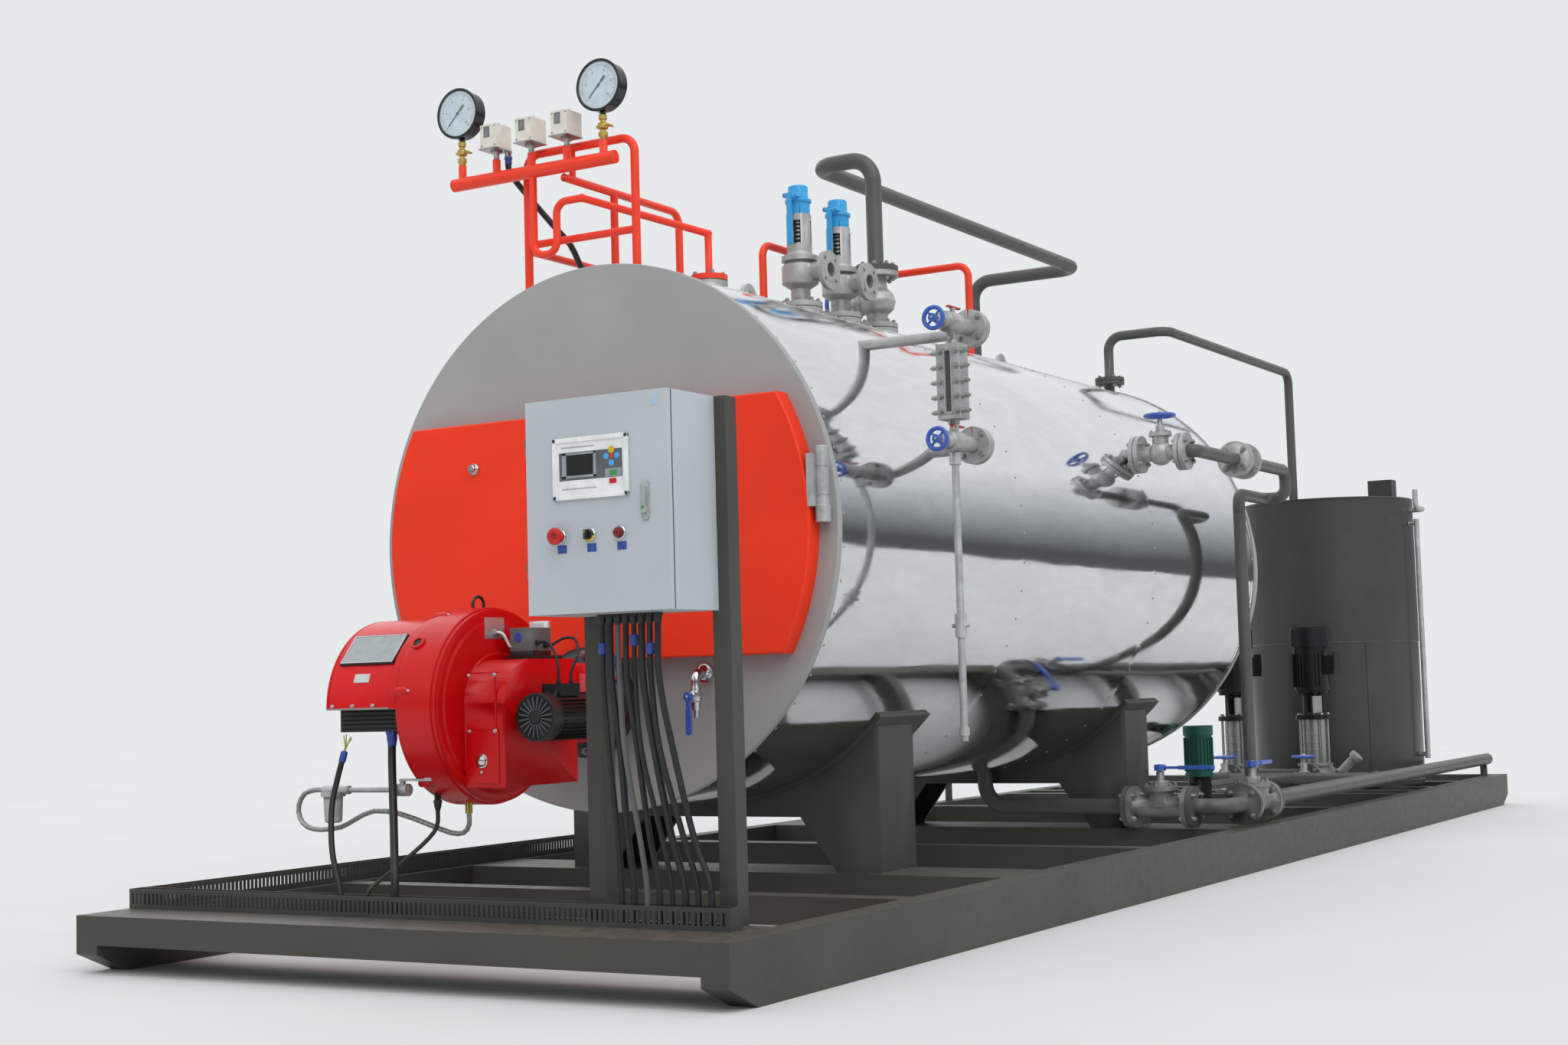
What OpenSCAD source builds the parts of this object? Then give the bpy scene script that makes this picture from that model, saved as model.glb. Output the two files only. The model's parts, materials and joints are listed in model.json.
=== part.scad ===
/* [Skid] */
// Length of the skid over its end plates
skid_l = 7830; // [7600:10:8400]
// Width of the skid over its side rails
skid_w = 2134; // [2100:2:2400]
// Width of a side rail
rail_w = 80; // [60:5:100]
// Height of a side rail
rail_h = 160; // [140:5:200]
// Length of the slanted nose under each end of a rail
nose_l = 120; // [60:10:200]
// Height of the slanted nose
nose_h = 54; // [30:2:90]
// Height of the cross beams
beam_h = 80; // [60:5:120]
// Width of the front cross beam, which carries the tray and the cabinet stand
front_beam_w = 320; // [310:5:400]

/* [Cable trays] */
// Distance of the front tray from the front end of the skid
tray_y = 190; // [150:5:190]
// Width of a tray
tray_w = 50; // [40:5:58]
// Height of a tray
tray_h = 55; // [40:5:80]
// Thickness of the tray walls
tray_wall = 3; // [2:0.5:5]
// Distance from the left edge of the skid to the end of the front tray
tray_l = 2019; // [1950:5:2040]
// Length of the tray along the left rail
side_tray_l = 2500; // [1500:50:3200]
// Distance from one slot of a tray to the next
slot_pitch = 16; // [12:1:60]
// Width of a slot
slot_w = 7; // [4:0.5:8]
// Height of a slot
slot_h = 32; // [24:1:36]

/* [Boiler shell] */
// Radius of the cladding
shell_r = 806; // [790:2:820]
// Length of the boiler over its two heads
shell_l = 3560; // [3400:10:3700]
// Distance of the front head from the front end of the skid
shell_front = 1020; // [1000:5:1060]
// Height of the lowest point of the shell above the skid
shell_lift = 226; // [215:2:260]
// Thickness of plate, insulation and cladding together
shell_wall = 62; // [40:2:90]
// Thickness of a head plate
head_t = 25; // [15:1:40]
// How far a head plate stands proud of the cladding
head_lip = 5; // [2:1:12]
// How far the rear smokebox lies inside the shell's radius
smokebox_in = 116; // [80:2:200]
// Depth of the rear smokebox
smokebox_l = 320; // [280:5:360]

/* [Front door] */
// How far the edge of the front door lies inside the shell's radius
door_in = 55; // [41:1:71]
// Thickness of the front door
door_t = 60; // [40:2:80]
// Height of the door's flat top and bottom edges from the axis
door_half_h = 366; // [330:2:400]
// Length of the hinge barrel
hinge_l = 200; // [160:5:240]

/* [Saddles] */
// Distance of the front saddle behind the front head
saddle_in = 625; // [560:5:700]
// Distance between the two saddles
saddle_pitch = 1995; // [1900:5:2050]
// Depth of a saddle
saddle_d = 230; // [180:5:260]
// Half width of a saddle
saddle_x = 575; // [560:1:600]
// Width of a saddle foot
foot_w = 154; // [120:2:190]
// Thickness of the saddle plates
plate_t = 12; // [8:1:16]
// Height of the arch between the feet above the skid
arch_h = 170; // [120:5:190]

/* [Cabinet] */
// Width of the control cabinet
cab_w = 418; // [400:2:430]
// Height of the control cabinet
cab_h = 523; // [480:2:560]
// Depth of the cabinet's box, without its door
cab_d = 186; // [160:2:190]
// Sheet thickness of the cabinet
cab_wall = 2; // [1.5:0.5:3]
// Thickness of the cabinet door
cab_door_t = 18; // [14:1:24]
// Left edge of the cabinet from the skid's centre line
cab_x = 485; // [470:5:488]
// Height of the cabinet's bottom above the ground
cab_z = 923; // [880:1:980]
// Width of a stand post
post_w = 50; // [40:2:60]
// Distance of the stand posts from the front end of the skid
stand_y = 250; // [250:1:260]

/* [Burner] */
// Outer radius of the burner's fan scroll
scroll_r = 264; // [250:2:280]
// Width of the fan scroll
scroll_w = 140; // [120:5:160]
// Distance of the scroll's axis in front of the front door
scroll_out = 428; // [410:2:450]
// Height of the burner axis above the ground
burner_z = 705; // [690:1:730]
// Width of the air hood
hood_w = 262; // [220:2:300]
// Width of the fan box beside the scroll
fan_box_w = 137; // [120:1:150]
// Depth of the fan box
fan_box_d = 320; // [280:5:330]
// Diameter of the burner motor
burner_motor_d = 128; // [110:2:140]
// Outer diameter of the blast tube
blast_d = 230; // [180:5:250]

/* [Gauge header] */
// Diameter of the gauge header
header_d = 42; // [34:1:48]
// Length of the gauge header
header_l = 640; // [600:5:700]
// Height of the header above the boiler axis
header_up = 1195; // [1160:5:1240]
// Distance of the header behind the front head
header_in = 220; // [200:5:260]
// Distance between the stubs on the header
stub_pitch = 140; // [130:1:150]
// Outer diameter of a gauge case
gauge_d = 160; // [140:2:170]
// Depth of a gauge case
gauge_depth = 50; // [40:1:60]
// Length of the side rail from the header to its rear legs
frame_back = 660; // [600:10:720]
// Distance of the pipe guard behind the front head
guard_in = 1170; // [1150:5:1180]
// Length of the pipe guard
guard_l = 800; // [780:5:820]
// Height of the pipe guard above the boiler axis
guard_up = 1083; // [1060:1:1110]
// Tube diameter of the orange frames
frame_d = 27; // [20:1:34]
// Width of a pressure switch
switch_w = 64; // [54:1:72]
// Height of a pressure switch
switch_h = 83; // [70:1:95]

/* [Steam fittings] */
// Flange diameter of the safety valves
safety_flange_d = 150; // [140:1:160]
// Body diameter of a safety valve
safety_body_d = 128; // [118:1:134]
// Height of a safety valve above its lower flange
safety_h = 430; // [400:5:450]
// Distance of the first safety valve behind the front head
safety_in = 1229; // [1200:5:1260]
// Distance between the safety valves, and on to the stop valve
safety_pitch = 280; // [270:5:300]
// Outer diameter of the steam pipe
steam_d = 60.3; // [48:0.1:76]
// Flange diameter of the steam pipe
steam_flange_d = 165; // [155:1:175]
// Height of the steam pipe above the boiler axis
steam_up = 1495; // [1450:5:1560]
// How far the steam pipe runs past the rear head
steam_over = 740; // [700:10:800]
// Height of the steam pipe's open end above the skid
steam_end = 300; // [250:10:400]

/* [Water fittings] */
// Distance of the level gauge from the centre line
level_x = 950; // [930:1:965]
// Distance of the level gauge behind the front head
level_in = 460; // [440:5:480]
// Height of the upper gauge valve above the boiler axis
level_up = 593; // [575:1:610]
// Distance between the two gauge valves
level_span = 352; // [330:1:380]
// Outer diameter of the feed pipe
feed_d = 48.3; // [42:0.1:54]
// Flange diameter of the feed pipe
feed_flange_d = 140; // [130:1:150]
// Distance of the feed valve behind the front head
feed_in = 2380; // [2340:5:2420]
// Height of the feed valve above the boiler axis
feed_up = 368; // [350:1:390]
// Distance from the feed valve to the check valve
check_out = 490; // [460:5:520]
// Distance from the feed valve to the riser
riser_out = 730; // [710:5:750]
// Distance from the feed valve to the return bend
return_out = 1050; // [1000:10:1060]
// Height of the pump mains above the skid
main_up = 78; // [70:1:90]
// Diameter of the large hand wheels
wheel_d = 120; // [100:2:140]
// Diameter of the gauge hand wheels
small_wheel_d = 74; // [64:1:84]
// Flange diameter of the blowdown valves
blow_flange_d = 155; // [140:1:165]
// Length of a lever handle
lever_l = 215; // [180:5:220]

/* [Feed tank and pumps] */
// Radius of the feed tank
tank_r = 418; // [400:2:430]
// Height of the feed tank
tank_h = 1440; // [1350:5:1550]
// Distance of the tank's axis from the centre line
tank_x = 460; // [440:5:480]
// Distance of the tank's axis from the front end of the skid
tank_y = 6820; // [6800:5:6860]
// Wall thickness of the tank
tank_wall = 5; // [3:0.5:10]
// Height of the vent pipe above the boiler axis
vent_up = 1051; // [1000:1:1100]
// Height of the vent flange above the boiler axis
vent_flange_up = 852; // [820:1:900]
// Outer diameter of the vent pipe
vent_d = 42; // [34:1:48]
// Distance of the pumps from the front end of the skid
pump_y = 6103; // [6080:1:6120]
// Distance of the right pump from the centre line
pump_x = 556; // [540:1:580]
// Distance between the two feed pumps
pump_pitch = 389; // [360:1:420]
// Height of a feed pump above the skid
pump_h = 790; // [740:5:840]
// Diameter of a feed pump motor
pump_motor_d = 190; // [160:2:210]

/* [Hidden] */
$fn = 48;

// Clearance between pieces that touch along a curved face
fit = 0.2;
deck_z = rail_h;
axis_z = deck_z + shell_lift + shell_r;
shell_back = shell_front + shell_l;
rail_in = skid_w / 2 - rail_w;
burner_y = shell_front - door_t - scroll_out;
door_r = shell_r - door_in;
smokebox_r = shell_r - smokebox_in;
// Room between the shell and the side of the skid, which the two side pipes share
side_room = skid_w / 2 - shell_r;
side_pipe_x = round(shell_r + side_room * 0.694);
riser_x = round(shell_r - 23 + side_room * 0.4483);

function shell_top(x) = axis_z + sqrt(pow(shell_r, 2) - pow(x, 2));
function shell_side(z) = sqrt(pow(shell_r, 2) - pow(z - axis_z, 2));
function unit(v) = v / norm(v);
function straight(v) = max(abs(v.x), abs(v.y), abs(v.z)) > 0.99999;
function turn(u, w) = acos(max(-1, min(1, u * w)));

// Everything is laid out from the front end of the skid, and the origin is under its middle
module from_front() {
    translate([0, -skid_l / 2, 0]) children();
}

// A round bar from a to b
module bar(a, b, d) {
    v = b - a;
    translate(a) rotate([0, acos(v.z / norm(v)), atan2(v.y, v.x)]) cylinder(h = norm(v), d = d);
}

// A hollow round bar from a to b
module tube(a, b, d, bore) {
    u = unit(b - a);
    difference() {
        bar(a, b, d);
        bar(a - u, b + u, bore);
    }
}

// The bend of a pipe at p, from direction u to direction w
module pipe_bend(p, u, w, d, bend) {
    t = turn(u, w);
    n = unit(w - u * cos(t));
    c = p - u * bend * tan(t / 2) + n * bend;
    z = cross(-n, u);
    multmatrix([
        [-n.x, u.x, z.x, c.x],
        [-n.y, u.y, z.y, c.y],
        [-n.z, u.z, z.z, c.z],
        [0, 0, 0, 1]
    ])
        rotate_extrude(angle = t) translate([bend, 0]) circle(d = d);
}

// A pipe along points, with round bends where it turns square and ball elbows elsewhere
module pipe_run(pts, d, bend) {
    last = len(pts) - 1;
    dirs = [for (i = [0:last - 1]) unit(pts[i + 1] - pts[i])];
    round_bend = [for (i = [0:last]) i > 0 && i < last && straight(dirs[i - 1]) && straight(dirs[i])];
    cuts = [for (i = [0:last]) round_bend[i] ? bend * tan(turn(dirs[i - 1], dirs[i]) / 2) : 0];
    for (i = [0:last - 1]) bar(pts[i] + dirs[i] * cuts[i], pts[i + 1] - dirs[i] * cuts[i + 1], d);
    if (last > 1)
        for (i = [1:last - 1])
            if (round_bend[i]) pipe_bend(pts[i], dirs[i - 1], dirs[i], d, bend);
            else translate(pts[i]) sphere(d = d * 1.12);
}

// A pair of flanges bolted together, centred on p, with the pipe along u
module flange_pair(p, u, d, t = 18) {
    gasket = 3;
    bar(p - u * (t + gasket / 2), p - u * gasket / 2, d);
    bar(p - u * gasket / 2, p + u * gasket / 2, d * 0.66);
    bar(p + u * gasket / 2, p + u * (t + gasket / 2), d);
}

// A hand wheel in the XY plane, with its hub on Z
module hand_wheel(d, rim, bore) {
    rotate_extrude() translate([d / 2 - rim / 2, 0]) circle(d = rim);
    difference() {
        union() {
            cylinder(h = rim * 1.6, d = rim * 1.9, center = true);
            for (a = [0:90:270]) rotate([0, 90, a + 45]) cylinder(h = d / 2 - rim / 2, d = rim * 0.55);
        }
        if (bore > 0) cylinder(h = rim * 4, d = bore, center = true);
    }
}

// A round body of revolution along Z from pairs of height and radius
module turned(profile) {
    rotate_extrude()
        polygon(concat([[0, profile[0][0]]], [for (p = profile) [p[1], p[0]]], [[0, profile[len(profile) - 1][0]]]));
}

// Everything in children that lies outside the boiler shell
module off_shell() {
    difference() {
        children();
        translate([0, shell_front - 100, axis_z]) rotate([-90, 0, 0]) cylinder(h = shell_l + 200, r = shell_r + fit, $fn = 96);
    }
}

// Skid

module rail() {
    rotate([90, 0, 90])
        linear_extrude(rail_w)
            polygon([
                [0, nose_h], [nose_l, 0], [skid_l - nose_l, 0],
                [skid_l, nose_h], [skid_l, rail_h], [0, rail_h]
            ]);
}

module left_rail() {
    color("#575850") from_front() translate([-skid_w / 2, 0, 0]) rail();
}

module right_rail() {
    color("#575850") from_front() translate([rail_in, 0, 0]) rail();
}

front_saddle_y = shell_front + saddle_in;
rear_saddle_y = front_saddle_y + saddle_pitch;
saddle_beam_w = saddle_d + 50;
beam_w = 80;
// Front edge and width of every cross beam
beams = [
    [0, front_beam_w],
    [shell_front - beam_w / 2, beam_w],
    [front_saddle_y - 25, saddle_beam_w],
    [(front_saddle_y + rear_saddle_y + saddle_d) / 2 - beam_w / 2, beam_w],
    [rear_saddle_y - 25, saddle_beam_w],
    [shell_back + 320, beam_w],
    [pump_y - 180, beam_w],
    [pump_y + 100, beam_w],
    [tank_y - tank_r * 0.62 - beam_w / 2, beam_w],
    [tank_y + tank_r * 0.62 - beam_w / 2, beam_w],
    [skid_l - beam_w, beam_w]
];

module cross_beams() {
    color("#4d4e47") from_front()
        for (b = beams)
            translate([-rail_in, b[0], deck_z - beam_h]) cube([2 * rail_in, b[1], beam_h]);
}

// A slotted tray along X, open at its top
module slotted_tray(l) {
    slots = floor((l - 2 * slot_pitch) / slot_pitch);
    difference() {
        cube([l, tray_w, tray_h]);
        translate([tray_wall, tray_wall, tray_wall]) cube([l - 2 * tray_wall, tray_w - 2 * tray_wall, tray_h]);
        for (i = [0:slots])
            translate([slot_pitch * (i + 0.7), -1, (tray_h - slot_h) / 2]) cube([slot_w, tray_w + 2, slot_h]);
    }
}

module cable_trays() {
    color("#4a4b45") from_front() {
        translate([-skid_w / 2, tray_y, deck_z]) slotted_tray(tray_l);
        translate([-skid_w / 2 + tray_w + 4, tray_y + tray_w + 4, deck_z]) rotate([0, 0, 90]) slotted_tray(side_tray_l);
    }
}

// Saddles

// Outline of a saddle plate, seen from the front
module saddle_outline() {
    inner = saddle_x - foot_w;
    arch_x = inner - arch_h * 0.75;
    difference() {
        polygon([
            [-saddle_x, deck_z], [-inner, deck_z], [-arch_x, deck_z + arch_h], [arch_x, deck_z + arch_h],
            [inner, deck_z], [saddle_x, deck_z], [saddle_x, axis_z], [-saddle_x, axis_z]
        ]);
        translate([0, axis_z]) circle(r = shell_r + plate_t / 2, $fn = 96);
    }
}

module saddle(y) {
    side_top = axis_z - sqrt(pow(shell_r + plate_t / 2, 2) - pow(saddle_x, 2));
    lean = atan2(saddle_x, axis_z - side_top);
    translate([0, y, 0]) {
        for (v = [0, saddle_d - plate_t])
            translate([0, v + plate_t, 0]) rotate([90, 0, 0]) linear_extrude(plate_t) saddle_outline();
        for (s = [-1, 1])
            translate([s * (saddle_x - plate_t / 2) - plate_t / 2, plate_t, deck_z])
                cube([plate_t, saddle_d - 2 * plate_t, side_top - deck_z - plate_t]);
        // Wrapper plate between the saddle and the shell
        translate([0, -20, axis_z]) rotate([-90, 0, 0])
            rotate([0, 0, 90 - lean - 2])
                rotate_extrude(angle = 2 * lean + 4, $fn = 96)
                    translate([shell_r + fit, 0]) square([plate_t, saddle_d + 100]);
    }
}

module front_saddle() {
    color("#575850") from_front() saddle(front_saddle_y);
}

module rear_saddle() {
    color("#575850") from_front() saddle(rear_saddle_y);
}

// Boiler

lug_in = 880;
lug_h = 70;

module clad_shell() {
    color("#c9cbcc") from_front() {
        translate([0, shell_front + head_t, axis_z]) rotate([-90, 0, 0])
            difference() {
                cylinder(h = shell_l - 2 * head_t, r = shell_r, $fn = 96);
                translate([0, 0, -1]) cylinder(h = shell_l, r = shell_r - shell_wall, $fn = 96);
            }
        // Lifting lugs on the top line
        for (y = [shell_front + lug_in, shell_back - lug_in * 0.8])
            translate([-plate_t / 2, y, shell_top(0) - shell_wall / 2]) difference() {
                union() {
                    translate([0, -45, 0]) cube([plate_t, 90, shell_wall / 2 + lug_h / 2]);
                    translate([0, 0, shell_wall / 2 + lug_h / 2]) rotate([0, 90, 0]) cylinder(h = plate_t, r = 45);
                }
                translate([-1, 0, shell_wall / 2 + lug_h / 2]) rotate([0, 90, 0]) cylinder(h = plate_t + 2, r = 20);
            }
    }
}

module head(y) {
    translate([0, y, axis_z]) rotate([-90, 0, 0]) cylinder(h = head_t, r = shell_r + head_lip, $fn = 96);
}

module front_head() {
    color("#9e9e9e") from_front() {
        head(shell_front);
        door_hinge();
    }
}

flue_d = 320;
flue_l = 90;

module rear_smokebox() {
    color("#8f9090") from_front() head(shell_back - head_t);
    color("#8f9090") from_front() translate([0, shell_back, axis_z]) rotate([-90, 0, 0]) {
        cylinder(h = smokebox_l - head_t, r = smokebox_r, $fn = 96);
        translate([0, 0, smokebox_l - head_t]) cylinder(h = head_t, r = smokebox_r + 20, $fn = 96);
        translate([0, -smokebox_r * 0.4, smokebox_l]) difference() {
            union() {
                cylinder(h = flue_l, d = flue_d, $fn = 64);
                translate([0, 0, flue_l - 10]) cylinder(h = 10, d = flue_d + 90, $fn = 64);
            }
            translate([0, 0, 5]) cylinder(h = flue_l, d = flue_d - 12, $fn = 64);
            for (a = [22.5:45:337.5])
                rotate([0, 0, a]) translate([flue_d / 2 + 27, 0, flue_l - 12]) cylinder(h = 14, d = 14);
        }
    }
}

door_face = shell_front - door_t;

module front_door() {
    color("#e83a1e") from_front()
        translate([0, door_face, axis_z]) {
            intersection() {
                rotate([-90, 0, 0]) cylinder(h = door_t - fit, r = door_r, $fn = 96);
                translate([-shell_r, -1, -door_half_h]) cube([2 * shell_r, door_t + 2, 2 * door_half_h]);
            }
            // Small sight port with its screwed cap
            translate([-door_r * 0.554, 1, door_half_h * 0.6175]) rotate([90, 0, 0]) {
                cylinder(h = 6, d = 36);
                cylinder(h = 20, d = 25);
            }
        }
}

hinge_x = door_r + 27;
hinge_up = 105;

// Barrel and leaf of the front door's hinge
module door_hinge() {
    pin_d = 36;
    translate([hinge_x, shell_front - pin_d / 2 - 8, axis_z + hinge_up - hinge_l / 2]) {
        cylinder(h = hinge_l, d = pin_d);
        translate([0, 0, -14]) cylinder(h = 50, d = pin_d + 8);
        translate([-pin_d / 2 + 4, 4, 24]) cube([pin_d * 0.7, pin_d / 2 + 5, hinge_l - 40]);
    }
}

// Orange frames and gauge header

header_y = shell_front + header_in;
header_z = axis_z + header_up;
header_x = -385;
header_left = header_x - header_l / 2;
frame_y = header_y + header_d / 2 + frame_d / 2 + 20;
frame_top = header_z + 70;
leg_x = [-448, -30];
side_x = -270;
side_z = header_z - 34;
side_back = header_y + frame_back;
side_mid = header_y + 280;

module header_frame() {
    color("#f0452a") from_front() off_shell() {
        pipe_run([
            [leg_x[0], frame_y, axis_z], [leg_x[0], frame_y, frame_top],
            [leg_x[1], frame_y, frame_top], [leg_x[1], frame_y, axis_z]
        ], frame_d, 48);
        // Cross rail between the front legs
        bar([leg_x[0], frame_y, header_z - 222], [leg_x[1], frame_y, header_z - 222], frame_d * 0.9);
        // Rail from under the header to the rear legs
        pipe_run([
            [side_x, header_y + 8, side_z], [side_x, side_back, side_z], [side_x, side_back, axis_z]
        ], frame_d * 0.95, 45);
        bar([side_x, side_mid, side_z], [side_x, side_mid, axis_z], frame_d * 0.95);
        // Low side rail from the left leg
        pipe_run([
            [leg_x[0], frame_y, header_z - 240], [leg_x[0], side_back, header_z - 240], [leg_x[0], side_back, axis_z]
        ], frame_d * 0.9, 45);
        // Tie between the front frame and the rail
        bar([side_x, frame_y, frame_top], [side_x, frame_y, side_z], frame_d * 0.8);
    }
}

stub_d = 26;
stub_h = 38;
stub_x = [for (i = [0:4]) header_left + 36 + i * stub_pitch];
siphon_y = shell_front + 640;
siphon_flange_z = shell_top(0) + 62;

module gauge_header() {
    color("#f0452a") from_front() {
        difference() {
            union() {
                bar([header_left, header_y, header_z], [header_left + header_l, header_y, header_z], header_d);
                for (x = stub_x) bar([x, header_y, header_z], [x, header_y, header_z + header_d / 2 + stub_h], stub_d);
            }
            translate([side_x, header_y + 8 - 1, side_z]) rotate([-90, 0, 0]) cylinder(h = 40, d = frame_d * 0.95 + 2 * fit);
        }
        // Siphon that joins the header to the boiler
        pipe_run([
            [header_x, header_y, header_z - header_d / 2 + 2], [header_x, header_y, header_z - 272],
            [header_x + 90, header_y, header_z - 272], [header_x + 90, header_y, header_z - 112],
            [header_x + 190, header_y, header_z - 112], [0, siphon_y, header_z - 180],
            [0, siphon_y, siphon_flange_z + 8]
        ], 24, 38);
        bar([0, siphon_y, siphon_flange_z - 10], [0, siphon_y, siphon_flange_z + 8], 120);
        off_shell() bar([0, siphon_y, axis_z], [0, siphon_y, siphon_flange_z - 13], 60);
        bar([0, siphon_y, siphon_flange_z - 31], [0, siphon_y, siphon_flange_z - 13], 120);
        bar([0, siphon_y, siphon_flange_z - 13], [0, siphon_y, siphon_flange_z - 10], 80);
    }
}

cock_h = 78;
stub_top = header_z + header_d / 2 + stub_h;
gauge_z = stub_top + cock_h + gauge_d / 2 + 12;

module gauge_cocks() {
    color("#c8a24a") from_front()
        for (x = [stub_x[0], stub_x[4]]) {
            translate([x, header_y, stub_top]) {
                turned([[0, 11], [12, 11], [12, 15], [24, 15], [24, 9], [32, 9], [36, 16], [52, 16], [56, 9], [64, 9], [64, 13], [cock_h, 13]]);
                translate([0, 0, 44]) rotate([0, 90, 0]) cylinder(h = 44, d = 12, center = true);
                translate([24, 0, 44]) rotate([90, 0, 0]) cylinder(h = 34, d = 8, center = true);
            }
        }
}

module pressure_gauges() {
    color("#1c1d20") from_front()
        for (x = [stub_x[0], stub_x[4]])
            translate([x, header_y + gauge_depth / 2, gauge_z]) rotate([90, 0, 0]) {
                difference() {
                    union() {
                        cylinder(h = gauge_depth, d = gauge_d, $fn = 64);
                        translate([0, 0, gauge_depth - 8]) cylinder(h = 8, d = gauge_d + 6, $fn = 64);
                    }
                    translate([0, 0, gauge_depth - 5]) cylinder(h = 6, d = gauge_d - 12, $fn = 64);
                }
                translate([0, -gauge_d / 2 - 12, gauge_depth / 2]) rotate([-90, 0, 0]) cylinder(h = 24, d = 20);
            }
}

module pressure_switches() {
    color("#d9d3c3") from_front()
        for (i = [1:3])
            translate([stub_x[i], header_y, stub_top]) {
                cylinder(h = 22, d = 18);
                translate([0, 0, 22]) cylinder(h = 6, d = 40);
                translate([-36, -48, 28]) cube([72, 84, 3]);
                // Cable gland under the plate
                if (i == 1) translate([24, 30, 4]) cylinder(h = 26, d = 22);
                difference() {
                    translate([-switch_w / 2, -42, 31]) cube([switch_w, 78, switch_h - 6]);
                    translate([-switch_w / 2 + 14, -43, 31 + switch_h * 0.42]) cube([24, 5, 36]);
                }
            }
}

guard_y = shell_front + guard_in;
guard_back = guard_y + guard_l;
guard_x = -115;
guard_right = 290;
guard_z = axis_z + guard_up;

module pipe_guard() {
    color("#f0452a") from_front() off_shell() {
        pipe_run([
            [guard_x, guard_y, axis_z], [guard_x, guard_y, guard_z], [guard_x, guard_back, guard_z],
            [guard_right, guard_back, guard_z], [guard_right, guard_back, axis_z]
        ], frame_d, 45);
        bar([guard_x - 60, guard_back, axis_z], [guard_x - 60, guard_back, guard_z - 248], frame_d * 0.9);
        bar([guard_x - 60, guard_back, guard_z - 248], [guard_right, guard_back, guard_z - 248], frame_d * 0.9);
    }
}

// Steam fittings

safety_y = [shell_front + safety_in, shell_front + safety_in + safety_pitch];
stop_y = shell_front + safety_in + 2 * safety_pitch;
nozzle_h = 44;
safety_z = shell_top(0) + nozzle_h;
outlet_z = safety_z + 122;
spring_z = safety_z + 196;
spring_h = 130;

// One safety valve with its nozzle, its side outlet and its slotted spring housing
module safety_valve(y) {
    body_r = safety_body_d / 2;
    translate([0, y, safety_z]) {
        difference() {
            union() {
                turned([
                    [0, safety_flange_d / 2], [18, safety_flange_d / 2], [18, 34], [66, 34], [86, body_r], [146, body_r],
                    [160, body_r - 14], [164, body_r], [182, body_r], [186, 46], [198, 44]
                ]);
                translate([0, 0, outlet_z - safety_z]) rotate([0, 90, 0]) {
                    cylinder(h = 106, d = 70);
                    translate([0, 0, 106]) cylinder(h = 16, d = 135);
                    translate([0, 0, 122]) cylinder(h = 2, d = 84);
                }
            }
            translate([40, 0, outlet_z - safety_z]) rotate([0, 90, 0]) cylinder(h = 90, d = 50);
            for (a = [45:90:315])
                translate([100, 0, outlet_z - safety_z]) rotate([a, 0, 0]) translate([0, 0, 50])
                    rotate([0, 90, 0]) cylinder(h = 30, d = 14);
        }
        // Spring housing with two tall windows on each side
        translate([0, 0, 198]) difference() {
            cylinder(h = spring_h, r = 44);
            translate([0, 0, 6]) cylinder(h = spring_h - 12, r = 37);
            for (a = [0:90:270])
                rotate([0, 0, a + 20]) translate([0, -13, 24]) cube([60, 26, spring_h - 48]);
        }
    }
}

module shell_nozzle(y) {
    off_shell() bar([0, y, axis_z], [0, y, safety_z - 3], 76);
    bar([0, y, safety_z - 21], [0, y, safety_z - 3], safety_flange_d);
    bar([0, y, safety_z - 3], [0, y, safety_z], safety_flange_d * 0.66);
}

// Coils of the spring on its spindle, inside the housing
module safety_spring(y) {
    wire = 9;
    turns = 8;
    span = spring_h - 12;
    pitch = span / turns;
    translate([0, y, safety_z + 204]) {
        cylinder(h = span, d = 18);
        for (i = [0:turns - 1])
            translate([0, 0, (i + 0.5) * pitch]) {
                rotate_extrude() translate([24, 0]) circle(d = wire);
                cylinder(h = 4, r = 22, center = true);
            }
    }
}

module safety_valves() {
    color("#a9abab") from_front()
        for (y = safety_y) {
            safety_valve(y);
            safety_spring(y);
            shell_nozzle(y);
        }
}

module safety_caps() {
    cap_z = safety_z + 198 + spring_h;
    cap_h = safety_h - 198 - spring_h;
    color("#2f8fd8") from_front()
        for (y = safety_y)
            translate([0, y, cap_z]) {
                turned([
                    [0, 40], [cap_h * 0.42, 40], [cap_h * 0.42, 46], [cap_h * 0.52, 46], [cap_h * 0.52, 35],
                    [cap_h * 0.95, 35], [cap_h, 31]
                ]);
                // Lifting lever down the front side
                translate([-9, -66, -112]) cube([18, 7, 112 + cap_h * 0.62]);
                translate([-9, -66, cap_h * 0.44]) cube([18, 40, 9]);
                for (x = [-26, 18])
                    translate([x, -60, cap_h * 0.55]) cube([8, 50, 14]);
                translate([-26, -62, cap_h * 0.55]) cube([52, 7, 14]);
            }
}

steam_z = axis_z + steam_up;
steam_flange_z = safety_z + 212;
steam_y = stop_y;
steam_x = -250;
steam_far = shell_back + steam_over;
steam_drop_x = -800;
steam_end_z = deck_z + steam_end;

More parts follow.
